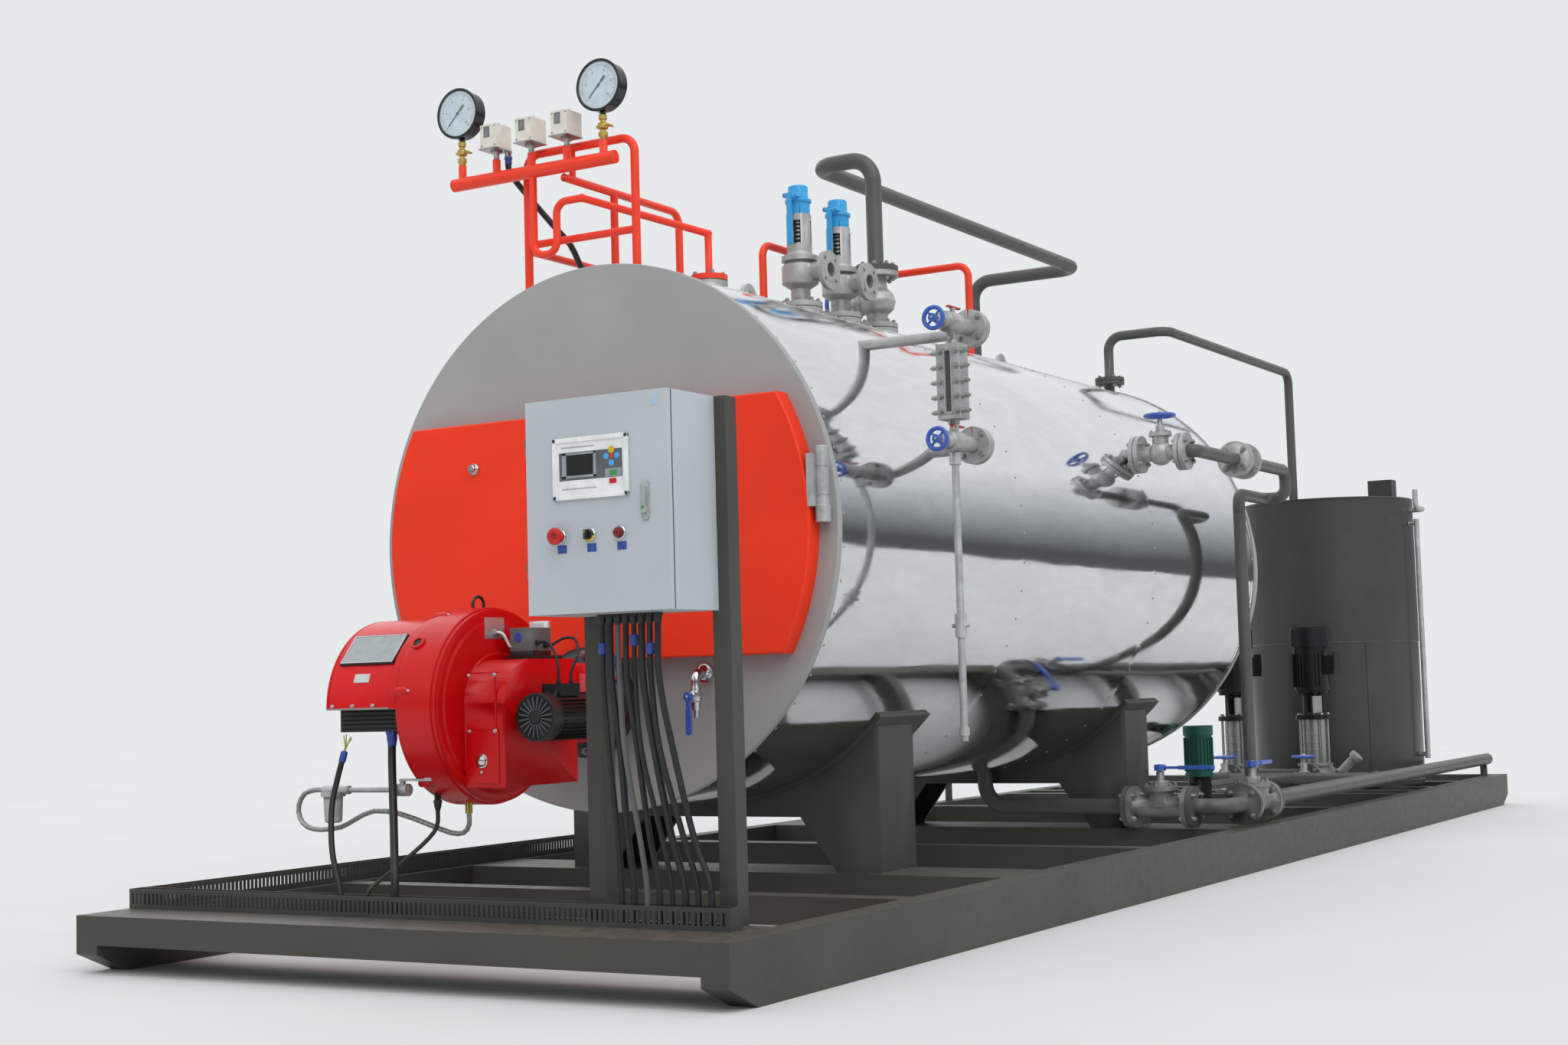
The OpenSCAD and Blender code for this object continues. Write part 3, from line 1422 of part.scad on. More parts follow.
module cabinet_cables() {
    color("#18191b") from_front()
        for (i = [0:7]) {
            x = cab_x + 135 + i * 23.5;
            foot = 622 + i * 37;
            cord([
                [x, cab_front + 96, cab_z - 22.3], [x, cab_front + 97, cab_z - 160],
                [x + (foot - x) * 0.2, cab_front + 112, cab_z - 330],
                [x + (foot - x) * 0.62, cab_front + 140, cab_z - 540],
                [foot, tray_y + tray_w / 2, cab_z - 660],
                [foot, tray_y + tray_w / 2, tray_floor + 0.3]
            ], 16);
        }
}

module burner_cables() {
    color("#18191b") from_front() {
        cord([
            [-230, 356, grille_z - 0.3], [-230, 356, grille_z - 24], [-226, 350, 560], [-180, 300, 430],
            [-112, 224, 280], [-105, 215, 200], [-105, 215, tray_floor + 0.3]
        ], 22);
        cord([
            [gland.x, gland.y, gland.z - 0.3], gland - [0, 0, 16], [gland.x - 6, gland.y - 10, 370], [-166, 310, 290],
            [-196, 224, 232], [-200, 215, 196], [-200, 215, tray_floor + 0.3]
        ], 12);
        cord([
            [-353, 300, 585], [-368, 290, 520], [-372, 270, 440], [-345, 240, 330],
            [-302, 219, 240], [-293, 215, 196], [-293, 215, tray_floor + 0.3]
        ], 16);
    }
}

module fuel_hoses() {
    color("#a9abaa") from_front()
        cord([
            filter + [-34.3, 0, 90], filter + [-66, 0, 90], filter + [-105, 0, 80], filter + [-128, 0, 48],
            filter + [-124, 0, 12], filter + [-98, 2, -12], filter + [-55, 8, -20], filter + [0, 30, -14],
            filter + [46, 40, 8], filter + [110, 42, 30], filter + [190, 56, 22], filter + [270, 76, -6],
            nipple - [52, 14, 52], nipple - [16, 4, 52], nipple - [0, 0, 30], nipple - [0, 0, 0.3]
        ], 14);
}

lead_x = 388;
lead_y = 1700;

// Cable of the first pressure switch, down behind the header to the top of the cladding
module header_cable() {
    a = asin(lead_x / shell_r);
    top = [stub_x[1] + 24, header_y + 30, stub_top + 4];
    out = [-sin(a), 0, cos(a)];
    foot = [0, lead_y, axis_z] + out * shell_r;
    color("#18191b") from_front()
        cord([
            top - [0, 0, 0.3], top - [0, 0, 26], top + [6, 8, -52], top + [22, 40, -92],
            top + [62, 64, -150], top + [118, 82, -222], top + [130, 150, -272], [-387, 1500, 2110],
            foot + [-4, -70, 96], foot + out * 60 - [0, 16, 0], foot + out * 26, foot + out * 0.5
        ], 20);
}

left_rail();
right_rail();
cross_beams();
cable_trays();
front_saddle();
rear_saddle();
clad_shell();
front_head();
rear_smokebox();
front_door();
header_frame();
gauge_header();
pressure_gauges();
gauge_cocks();
pressure_switches();
pipe_guard();
safety_valves();
safety_caps();
steam_stop_valve();
steam_riser();
steam_main();
steam_drop();
level_gauge();
gauge_valves();
upper_gauge_wheel();
lower_gauge_wheel();
gauge_drain();
feed_valve();
feed_wheel();
feed_pipe();
feed_riser();
vent_riser();
vent_pipe();
feed_tank();
tank_lid();
tank_fittings();
feed_pumps();
pump_motors();
transfer_pump();
pump_pipes();
blowdown_valves();
quick_lever();
slow_lever();
blowdown_pipes();
burner_housing();
burner_hood();
burner_motor();
burner_controls();
fuel_filter();
cabinet_box();
cabinet_door();
control_panel();
cabinet_stand();
head_drain();
drain_lever();
cabinet_cables();
burner_cables();
header_cable();
fuel_hoses();
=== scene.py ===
"""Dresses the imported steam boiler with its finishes, fasteners, dials, wiring and stage."""

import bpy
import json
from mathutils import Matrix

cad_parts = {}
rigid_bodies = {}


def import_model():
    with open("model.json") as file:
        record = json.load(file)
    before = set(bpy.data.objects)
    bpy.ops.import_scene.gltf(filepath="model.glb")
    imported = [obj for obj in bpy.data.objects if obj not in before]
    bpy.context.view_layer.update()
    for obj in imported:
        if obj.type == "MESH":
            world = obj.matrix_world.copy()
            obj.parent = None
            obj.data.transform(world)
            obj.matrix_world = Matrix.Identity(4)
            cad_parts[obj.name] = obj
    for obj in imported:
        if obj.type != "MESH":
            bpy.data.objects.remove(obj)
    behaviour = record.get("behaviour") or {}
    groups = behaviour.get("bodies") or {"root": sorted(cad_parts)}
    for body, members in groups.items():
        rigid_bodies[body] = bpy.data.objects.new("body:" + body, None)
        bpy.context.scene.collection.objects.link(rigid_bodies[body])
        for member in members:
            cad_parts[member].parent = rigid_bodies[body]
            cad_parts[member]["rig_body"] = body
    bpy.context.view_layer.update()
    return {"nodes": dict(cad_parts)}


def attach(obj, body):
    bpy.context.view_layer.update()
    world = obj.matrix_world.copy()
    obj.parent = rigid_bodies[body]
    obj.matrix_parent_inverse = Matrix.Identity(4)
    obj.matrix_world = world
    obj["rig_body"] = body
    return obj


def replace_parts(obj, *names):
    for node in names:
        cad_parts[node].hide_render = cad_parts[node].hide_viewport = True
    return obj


bl_info = {
    "name": "Steam Boiler Dressing",
    "version": (1, 0, 0),
    "blender": (4, 5, 0),
    "location": "3D View > Sidebar > Boiler",
    "description": "Finishes, fasteners, dials, wiring and stage for a skid-mounted steam boiler",
    "category": "Object",
}

import json
import math
import random

import bmesh
import bpy
from bpy.props import FloatProperty, FloatVectorProperty, IntProperty, PointerProperty
from bpy.types import Operator, Panel, PropertyGroup
from mathutils import Matrix, Vector

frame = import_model()

# Shared sizes in millimetres, counted from the front end of the skid as in the part's source
SKID_L = 7830.0
DECK = 160.0
SHELL_R = 806.0
AXIS_Z = 1192.0
SHELL_FRONT = 1020.0
SHELL_BACK = 4580.0
HEAD_T = 25.0
BASE = "skid_and_boiler"
DOOR = "cabinet_door_body"


def at(x, y, z):
    """A point in millimetres from the front end of the skid, in metres in the row's frame."""
    return Vector((x, y - SKID_L / 2, z)) * 0.001


def shell_top(x):
    return AXIS_Z + math.sqrt(SHELL_R**2 - x**2)


# Colours and nodes


def linear(colour):
    """Turns an sRGB hex colour, or three sRGB numbers, to a linear colour with alpha."""
    if isinstance(colour, str):
        colour = [int(colour[i : i + 2], 16) / 255 for i in (1, 3, 5)]
    return [c / 12.92 if c <= 0.04045 else ((c + 0.055) / 1.055) ** 2.4 for c in colour] + [1.0]


def node(tree, kind, inputs=None, **settings):
    """Adds a node, sets its settings, and sets or links its inputs by name or number."""
    made = tree.nodes.new(kind)
    for key, value in settings.items():
        setattr(made, key, value)
    for key, value in (inputs or {}).items():
        socket = made.inputs[key]
        if isinstance(value, bpy.types.NodeSocket):
            tree.links.new(value, socket)
        else:
            socket.default_value = value
    return made


def material(name, **sockets):
    """An empty material with one shader, whose plain sockets are set by name."""
    made = bpy.data.materials.new(name)
    made.use_nodes = True
    tree = made.node_tree
    tree.nodes.clear()
    shader = node(tree, "ShaderNodeBsdfPrincipled", {k.replace("_", " "): v for k, v in sockets.items()})
    node(tree, "ShaderNodeOutputMaterial", {"Surface": shader.outputs[0]})
    return made, tree, shader


def ramp(tree, value, low, high, out_low=0.0, out_high=1.0):
    """Value from low to high, taken to out_low to out_high and held there."""
    return node(
        tree,
        "ShaderNodeMapRange",
        {"Value": value, "From Min": low, "From Max": high, "To Min": out_low, "To Max": out_high},
    ).outputs["Result"]


def times(tree, a, b, operation="MULTIPLY"):
    return node(tree, "ShaderNodeMath", {0: a, 1: b}, operation=operation).outputs[0]


def mixed(tree, factor, a, b, blend="MIX"):
    """Colour a mixed with colour b."""
    made = node(tree, "ShaderNodeMix", data_type="RGBA", blend_type=blend)
    for socket, value in ((made.inputs[0], factor), (made.inputs[6], a), (made.inputs[7], b)):
        if isinstance(value, bpy.types.NodeSocket):
            tree.links.new(value, socket)
        else:
            socket.default_value = value
    return made.outputs[2]


def noise(tree, where, mm, detail=3.0, rough=0.55, distortion=0.0):
    """Noise whose blobs are about mm millimetres wide."""
    return node(
        tree,
        "ShaderNodeTexNoise",
        {"Vector": where, "Scale": 1000.0 / mm, "Detail": detail, "Roughness": rough, "Distortion": distortion},
    ).outputs["Fac"]


def stretched(tree, where, x, y, z):
    return node(tree, "ShaderNodeMapping", {"Vector": where, "Scale": (x, y, z)}).outputs[0]


def enamel(name, colour, rough=0.4, peel_mm=3.0, peel=0.05, dust=0.25, shade=0.12, edge=0.0, coat=0.0, gloss=0.5, round_mm=1.2):
    """Sprayed or brushed paint: faint clouding, orange peel, dust on what faces up, and lighter edges that are partly
    rubbed paint and partly painted highlight.
    """
    made, tree, shader = material(name, Coat_Weight=coat, Coat_Roughness=0.08, Specular_IOR_Level=gloss)
    where = node(tree, "ShaderNodeTexCoord").outputs["Object"]
    cloud = noise(tree, where, 420, 5)
    spots = noise(tree, where, 38, 4, 0.7)
    base = linear(colour)
    dark = [c * (1 - shade) for c in base[:3]] + [1]
    light = [min(1, c * (1 + shade)) for c in base[:3]] + [1]
    tone = mixed(tree, ramp(tree, cloud, 0.35, 0.65), dark, light)
    facing = node(tree, "ShaderNodeSeparateXYZ", {0: node(tree, "ShaderNodeNewGeometry").outputs["Normal"]}).outputs[2]
    lying = times(tree, ramp(tree, facing, 0.45, 0.95), ramp(tree, spots, 0.36, 0.66, 0.25, 1.0))
    tone = mixed(tree, times(tree, lying, dust), tone, linear("#a39c8c"))
    rounded = node(tree, "ShaderNodeBevel", {"Radius": round_mm * 0.001}, samples=4).outputs[0]
    # Lighter edges: partly rubbed paint, partly painted highlight along the edges.
    if edge:
        plain = node(tree, "ShaderNodeNewGeometry").outputs["Normal"]
        same = node(tree, "ShaderNodeVectorMath", {0: rounded, 1: plain}, operation="DOT_PRODUCT").outputs["Value"]
        worn_and_highlit_edges = times(tree, ramp(tree, same, 0.97, 0.8), ramp(tree, spots, 0.5, 0.62, 0.0, edge))
        tone = mixed(tree, worn_and_highlit_edges, tone, linear("#8d8d88"))
    tree.links.new(tone, shader.inputs["Base Color"])
    uneven = ramp(tree, spots, 0.3, 0.7, rough * 0.88, min(1.0, rough * 1.15))
    tree.links.new(times(tree, uneven, times(tree, lying, dust * 0.6), "ADD"), shader.inputs["Roughness"])
    skin = noise(tree, where, peel_mm, 2)
    bump = node(tree, "ShaderNodeBump", {"Strength": peel, "Distance": 0.001, "Height": skin, "Normal": rounded})
    tree.links.new(bump.outputs[0], shader.inputs["Normal"])
    return made


def cast(name, colour, rough=0.44, grain_mm=2.2, grain=0.35, metallic=0.5):
    """Cast iron or steel under a thin silver paint: sandy skin, and painted shade on the faces that look down."""
    made, tree, shader = material(name, Metallic=metallic)
    where = node(tree, "ShaderNodeTexCoord").outputs["Object"]
    patches = noise(tree, where, 60, 5, 0.65)
    grit = noise(tree, where, grain_mm, 3, 0.7)
    base = linear(colour)
    tone = mixed(tree, ramp(tree, patches, 0.35, 0.68), [c * 0.78 for c in base[:3]] + [1], [min(1, c * 1.12) for c in base[:3]] + [1])
    facing = node(tree, "ShaderNodeSeparateXYZ", {0: node(tree, "ShaderNodeNewGeometry").outputs["Normal"]}).outputs[2]
    # Painted shade: faces that look down are darkened towards a dark grey-brown.
    under = ramp(tree, facing, -0.2, -0.9, 0.0, 0.35)
    tone = mixed(tree, under, tone, linear("#5b5750"))
    tree.links.new(tone, shader.inputs["Base Color"])
    tree.links.new(ramp(tree, patches, 0.3, 0.7, rough * 0.8, rough * 1.25), shader.inputs["Roughness"])
    rounded = node(tree, "ShaderNodeBevel", {"Radius": 0.0016}, samples=4).outputs[0]
    bump = node(tree, "ShaderNodeBump", {"Strength": grain, "Distance": 0.0004, "Height": grit, "Normal": rounded})
    tree.links.new(bump.outputs[0], shader.inputs["Normal"])
    return made


def bright_metal(name, colour, rough=0.25, lines=(1.0, 1.0, 1.0), lines_mm=3.0, strength=0.08):
    """Bare or plated metal with the fine lines that turning or brushing leaves."""
    made, tree, shader = material(name, Metallic=1.0)
    where = node(tree, "ShaderNodeTexCoord").outputs["Object"]
    tarnish = noise(tree, where, 45, 4, 0.6)
    base = linear(colour)
    tone = mixed(tree, ramp(tree, tarnish, 0.3, 0.7), [c * 0.8 for c in base[:3]] + [1], base)
    tree.links.new(tone, shader.inputs["Base Color"])
    scratch = noise(tree, stretched(tree, where, *lines), lines_mm, 2)
    tree.links.new(ramp(tree, tarnish, 0.3, 0.7, rough * 1.3, rough * 0.8), shader.inputs["Roughness"])
    rounded = node(tree, "ShaderNodeBevel", {"Radius": 0.0008}, samples=4).outputs[0]
    bump = node(tree, "ShaderNodeBump", {"Strength": strength, "Distance": 0.0004, "Height": scratch, "Normal": rounded})
    tree.links.new(bump.outputs[0], shader.inputs["Normal"])
    return made


def mirror_sheet(name, colour):
    """Polished stainless cladding: near mirror, slightly wavy between its fixings, with dust and wipe marks."""
    made, tree, shader = material(name, Metallic=1.0)
    where = node(tree, "ShaderNodeTexCoord").outputs["Object"]
    wave = noise(tree, stretched(tree, where, 1.0, 0.45, 1.0), 520, 2, 0.4)
    ripple = noise(tree, stretched(tree, where, 1.0, 0.3, 1.0), 150, 2, 0.4)
    smear = noise(tree, stretched(tree, where, 1.0, 0.25, 1.0), 70, 6, 0.7, 0.6)
    base = linear(colour)
    tone = mixed(tree, ramp(tree, smear, 0.35, 0.75), base, [c * 0.86 for c in base[:3]] + [1])
    facing = node(tree, "ShaderNodeSeparateXYZ", {0: node(tree, "ShaderNodeNewGeometry").outputs["Normal"]}).outputs[2]
    lying = times(tree, ramp(tree, facing, 0.5, 1.0), ramp(tree, smear, 0.3, 0.7, 0.2, 1.0))
    tone = mixed(tree, times(tree, lying, 0.25), tone, linear("#b9b4a8"))
    tree.links.new(tone, shader.inputs["Base Color"])
    tree.links.new(times(tree, ramp(tree, smear, 0.35, 0.8, 0.045, 0.13), times(tree, lying, 0.1), "ADD"), shader.inputs["Roughness"])
    height = times(tree, wave, times(tree, ripple, 0.12), "ADD")
    bump = node(tree, "ShaderNodeBump", {"Strength": 0.6, "Distance": 0.012, "Height": height})
    tree.links.new(bump.outputs[0], shader.inputs["Normal"])
    return made


def moulded(name, colour, rough=0.4, grain_mm=0.9, grain=0.12):
    """Moulded plastic or rubber with a fine even grain."""
    made, tree, shader = material(name)
    where = node(tree, "ShaderNodeTexCoord").outputs["Object"]
    cloud = noise(tree, where, 30, 4)
    base = linear(colour)
    tone = mixed(tree, ramp(tree, cloud, 0.3, 0.7), [c * 0.88 for c in base[:3]] + [1], [min(1, c * 1.08) for c in base[:3]] + [1])
    tree.links.new(tone, shader.inputs["Base Color"])
    tree.links.new(ramp(tree, cloud, 0.3, 0.7, rough * 0.85, rough * 1.2), shader.inputs["Roughness"])
    skin = noise(tree, where, grain_mm, 2)
    rounded = node(tree, "ShaderNodeBevel", {"Radius": 0.0008}, samples=4).outputs[0]
    bump = node(tree, "ShaderNodeBump", {"Strength": grain, "Distance": 0.0003, "Height": skin, "Normal": rounded})
    tree.links.new(bump.outputs[0], shader.inputs["Normal"])
    return made


def clear_glass(name, tint="#e8eeee"):
    """Flat window glass: thin, so it only adds its gloss and a trace of dust."""
    made, tree, shader = material(name, Roughness=0.05, Alpha=0.13, IOR=1.5)
    where = node(tree, "ShaderNodeTexCoord").outputs["Object"]
    dusty = noise(tree, where, 25, 5, 0.7)
    tree.links.new(mixed(tree, ramp(tree, dusty, 0.4, 0.8), linear(tint), linear("#c9cdcb")), shader.inputs["Base Color"])
    return made


def braid(name, colour):
    """Woven steel braid round a hose, with wires a few millimetres apart so that they show."""
    made, tree, shader = material(name, Metallic=0.9)
    where = node(tree, "ShaderNodeTexCoord").outputs["UV"]
    a = node(tree, "ShaderNodeTexWave", {"Vector": where, "Scale": 26.0, "Distortion": 0.0}, bands_direction="DIAGONAL").outputs["Fac"]
    flipped = stretched(tree, where, -1.0, 1.0, 1.0)
    b = node(tree, "ShaderNodeTexWave", {"Vector": flipped, "Scale": 26.0}, bands_direction="DIAGONAL").outputs["Fac"]
    weave = times(tree, a, b, "MAXIMUM")
    base = linear(colour)
    tree.links.new(mixed(tree, ramp(tree, weave, 0.3, 0.9), [c * 0.35 for c in base[:3]] + [1], base), shader.inputs["Base Color"])
    tree.links.new(ramp(tree, weave, 0.2, 0.9, 0.6, 0.3), shader.inputs["Roughness"])
    bump = node(tree, "ShaderNodeBump", {"Strength": 0.5, "Distance": 0.0006, "Height": weave})
    tree.links.new(bump.outputs[0], shader.inputs["Normal"])
    return made


FINISH = {}


def finish(name):
    """The material of that name, made once."""
    if name not in FINISH:
        c = bpy.context.scene.boiler_colours
        FINISH.update(
            {
                "skid": enamel("olive_machine_enamel", c.skid, 0.42, 4, 0.06, 0.14, 0.10, 0.3, gloss=0.35, round_mm=2.5),
                "tray": enamel("tray_enamel", c.tray, 0.5, 4, 0.06, 0.2, 0.12),
                "cladding": mirror_sheet("polished_stainless_sheet", c.cladding),
                "head": enamel("grey_primer", c.head, 0.62, 3, 0.08, 0.12, 0.05, round_mm=2.0),
                "orange": enamel("orange_gloss_enamel", c.orange, 0.4, 3, 0.05, 0.06, 0.06, coat=0.03, gloss=0.28),
                "tubes": enamel("orange_tube_enamel", c.tubes, 0.36, 3, 0.05, 0.06, 0.07, coat=0.04, gloss=0.3),
                "red": enamel("red_powder_coat", c.burner, 0.3, 2.5, 0.06, 0.04, 0.07, coat=0.05, gloss=0.28, round_mm=2.2),
                "cabinet": enamel("textured_cabinet_powder_coat", c.cabinet, 0.5, 1.6, 0.10, 0.10, 0.04, round_mm=1.6),
                "pipes": enamel("dark_pipe_enamel", c.pipes, 0.44, 3, 0.07, 0.16, 0.12),
                "tank": enamel("tank_enamel", c.tank, 0.3, 5, 0.06, 0.08, 0.1),
                "motor": enamel("black_motor_enamel", "#0e0f11", 0.36, 2, 0.06, 0.06, 0.15, gloss=0.35),
                "teal": enamel("teal_motor_enamel", "#155c50", 0.4, 2, 0.06, 0.2, 0.12),
                "cap": enamel("blue_cap_enamel", c.caps, 0.36, 2, 0.06, 0.1, 0.08),
                "wheel": enamel("blue_wheel_enamel", c.wheels, 0.34, 2, 0.08, 0.1, 0.1, 0.5, coat=0.2),
                "white_paint": enamel("white_valve_paint", "#d8d9d4", 0.45, 3, 0.1, 0.2, 0.08),
                "valve": cast("silver_painted_cast_iron", c.valves),
                "dark_valve": cast("grey_painted_cast_iron", "#8b8c8a"),
                "pale_metal": cast("zinc_grey_casting", "#b9bcbb", 0.42, 1.6, 0.2, 0.5),
                "steel": bright_metal("brushed_stainless", "#b3b4b3", 0.34, (1, 1, 0.08), 2.0),
                "chrome": bright_metal("plated_screws", "#d6d8d9", 0.12),
                "zinc": bright_metal("zinc_plated_fasteners", "#aeb0ad", 0.36),
                "dark_steel": bright_metal("blackened_steel", "#54565a", 0.4),
                "brass": bright_metal("yellow_brass", "#d3b064", 0.3),
                "black": moulded("black_moulding", "#1b1c1e", 0.42),
                "gloss_black": moulded("glossy_black_case", "#141517", 0.2, 1.2, 0.04),
                "ivory": moulded("ivory_moulding", "#dcd8cd", 0.42),
                "white": moulded("white_moulding", "#e6e8e8", 0.38),
                "slate": moulded("slate_moulding", "#565c63", 0.4),
                "sky_key": moulded("light_blue_keys", "#4aa3e0", 0.35),
                "grey": moulded("grey_moulding", "#8f979b", 0.42),
                "screen": moulded("dark_screen", "#1d2320", 0.15, 2.0, 0.02),
                "signal_red": moulded("red_button", "#c31a1c", 0.28, 2.0, 0.03),
                "signal_yellow": moulded("yellow_button", "#d8b31c", 0.32),
                "signal_blue": moulded("blue_plate", "#2b4a9b", 0.4),
                "signal_green": moulded("green_key", "#2f8f4a", 0.35),
                "cable": moulded("black_cable_sheath", "#17181a", 0.45, 1.2, 0.15),
                # Cable 3 is black; the grey of this sheath is painted sheen.
                "sheen_grey_cable": moulded("black_cable_painted_sheen", "#5b5e61", 0.45, 1.2, 0.12),
                "gasket": moulded("grey_gasket", "#3b3c3d", 0.7, 1.0, 0.2),
                "dial": moulded("white_dial", "#cfdde8", 0.5, 3.0, 0.02),
                "ink": moulded("black_dial_ink", "#15161a", 0.5),
                "window": moulded("smoked_window", "#969d9e", 0.04, 6.0, 0.01),
                "lamp": moulded("dark_red_lens", "#6d1218", 0.12, 3.0, 0.02),
                "pale_blue": moulded("pale_blue_plate", "#a9c4dc", 0.4),
                "wire": moulded("yellow_green_wire", "#a9a522", 0.45),
                "plate": bright_metal("bare_aluminium_plate", "#d9dbdb", 0.42, (1, 0.1, 1), 2.0, 0.04),
                "glass": clear_glass("dial_glass"),
                "braid": braid("steel_braid", "#b4b6b5"),
            }
        )
    return FINISH[name]


# Mesh helpers


def smooth_by_angle(mesh, degrees=32):
    """Smooth shading that breaks at edges sharper than the angle."""
    for polygon in mesh.polygons:
        polygon.use_smooth = True
    mesh.set_sharp_from_angle(angle=math.radians(degrees))


def even_normals(made):
    """Lets the large faces of a piece keep their own normals, so that rounded edges don't tint them."""
    modifier = made.modifiers.new("even_normals", "WEIGHTED_NORMAL")
    modifier.keep_sharp = True


def piece(name, bm, look, body=BASE, degrees=32):
    """Ends a bmesh as a piece with its place in its mesh, a finish and a body to ride on."""
    bmesh.ops.recalc_face_normals(bm, faces=bm.faces)
    mesh = bpy.data.meshes.new(name)
    bm.to_mesh(mesh)
    bm.free()
    smooth_by_angle(mesh, degrees)
    made = bpy.data.objects.new(name, mesh)
    bpy.context.scene.collection.objects.link(made)
    even_normals(made)
    mesh.materials.append(finish(look))
    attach(made, body)
    return made


def axes_along(direction, zero=None):
    """A rotation that takes +Z to the direction, and +X to zero where that is given."""
    ahead = Vector(direction).normalized()
    if zero is None:
        return Vector((0, 0, 1)).rotation_difference(ahead).to_matrix().to_4x4()
    across = Vector(zero).normalized()
    side = ahead.cross(across)
    return Matrix([[across[i], side[i], ahead[i], 0] for i in range(3)] + [[0, 0, 0, 1]])


def turned(bm, profile, centre, direction=(0, 0, 1), sides=48, zero=None, sweep=(0.0, 360.0)):
    """A body of revolution from pairs of radius and height in millimetres. Its place is in millimetres
    from the front end. A profile that starts off the axis closes on itself as a ring, and a sweep of
    less than a full turn is closed by flat ends."""
    to = Matrix.Translation(at(*centre)) @ axes_along(direction, zero)
    full = abs(sweep[1] - sweep[0]) > 359.9
    count = sides if full else sides + 1
    rings = []
    for radius, height in profile:
        if radius <= 1e-6:
            rings.append([bm.verts.new(to @ Vector((0, 0, height * 0.001)))])
            continue
        ring = []
        for k in range(count):
            a = math.radians(sweep[0] + (sweep[1] - sweep[0]) * k / sides)
            ring.append(bm.verts.new(to @ (Vector((radius * math.cos(a), radius * math.sin(a), height)) * 0.001)))
        rings.append(ring)
    ring_shaped = profile[0][0] > 0
    for low, high in zip(rings, rings[1:] + (rings[:1] if ring_shaped else [])):
        for k in range(sides):
            j = (k + 1) % count
            corners = [low[k % len(low)], low[j % len(low)], high[j % len(high)], high[k % len(high)]]
            unique = list(dict.fromkeys(corners))
            if len(unique) > 2:
                bm.faces.new(unique)
    if not full:
        bm.faces.new([ring[0] for ring in rings])
        bm.faces.new([ring[-1] for ring in rings])


def sector(bm, centre, direction, zero, radii, angles, heights, steps=24):
    """A closed piece of a tube wall between two radii, two angles and two heights."""
    to = Matrix.Translation(at(*centre)) @ axes_along(direction, zero)
    grid = []
    for k in range(steps + 1):
        a = math.radians(angles[0] + (angles[1] - angles[0]) * k / steps)
        corners = ((radii[0], heights[0]), (radii[1], heights[0]), (radii[1], heights[1]), (radii[0], heights[1]))
        grid.append([bm.verts.new(to @ (Vector((r * math.cos(a), r * math.sin(a), h)) * 0.001)) for r, h in corners])
    for low, high in zip(grid, grid[1:]):
        for k in range(4):
            bm.faces.new((low[k], low[(k + 1) % 4], high[(k + 1) % 4], high[k]))
    bm.faces.new(grid[0])
    bm.faces.new(grid[-1])


def plate(bm, centre, normal, up, width, height, thick, chamfer=1.0):
    """A flat plate whose back lies on centre, with its face along normal and its height along up."""
    n, u = Vector(normal).normalized(), Vector(up).normalized()
    s = u.cross(n)
    to = Matrix([[s[i], u[i], n[i], at(*centre)[i]] for i in range(3)] + [[0, 0, 0, 1]])
    made = bmesh.ops.create_cube(bm, size=1.0)["verts"]
    for v in made:
        v.co = to @ (Vector((v.co.x * width, v.co.y * height, (v.co.z + 0.5) * thick)) * 0.001)
    if chamfer:
        edges = list({e for v in made for e in v.link_edges})
        bmesh.ops.bevel(bm, geom=edges, offset=chamfer * 0.001, segments=2, profile=0.6, affect="EDGES", clamp_overlap=True)


def block(bm, low, high, chamfer=1.0, matrix=None):
    """A box between two corners in millimetres from the front end, with its edges taken off."""
    a, b = at(*low), at(*high)
    made = bmesh.ops.create_cube(bm, size=1.0)
    verts = made["verts"]
    for v in verts:
        v.co = Vector([a[i] + (v.co[i] + 0.5) * (b[i] - a[i]) for i in range(3)])
        if matrix is not None:
            v.co = matrix @ v.co
    if chamfer:
        edges = list({e for v in verts for e in v.link_edges})
        bmesh.ops.bevel(bm, geom=edges, offset=chamfer * 0.001, segments=2, profile=0.6, affect="EDGES", clamp_overlap=True)


def swept(bm, points, radius, sides=12, closed_ends=True):
    """A round tube along points in metres, radius in millimetres, its rings square to the way it runs."""
    r = radius * 0.001
    rings = []
    side = None
    for i, p in enumerate(points):
        ahead = points[min(i + 1, len(points) - 1)] - points[max(i - 1, 0)]
        ahead.normalize()
        if side is None:
            side = ahead.cross(Vector((0, 0, 1)) if abs(ahead.z) < 0.9 else Vector((0, 1, 0))).normalized()
        side = (side - ahead * side.dot(ahead)).normalized()
        up = side.cross(ahead)
        rings.append([bm.verts.new(p + (side * math.cos(2 * math.pi * k / sides) + up * math.sin(2 * math.pi * k / sides)) * r) for k in range(sides)])
    for low, high in zip(rings, rings[1:]):
        for k in range(sides):
            bm.faces.new((low[k], low[(k + 1) % sides], high[(k + 1) % sides], high[k]))
    if closed_ends:
        bm.faces.new(rings[0])
        bm.faces.new(rings[-1])


def curve_through(points, steps=8):
    """A smooth line through points, as a list of points."""
    result = []
    last = len(points) - 1
    for i in range(last):
        a, b = points[i], points[i + 1]
        before = points[i - 1] if i else a + (a - b)
        after = points[i + 2] if i + 2 <= last else b + (b - a)
        for s in range(steps):
            t = s / steps
            result.append(0.5 * ((2 * a) + (b - before) * t + (2 * before - 5 * a + 4 * b - after) * t * t + (3 * a - before - 3 * b + after) * t**3))
    result.append(points[-1].copy())
    return result


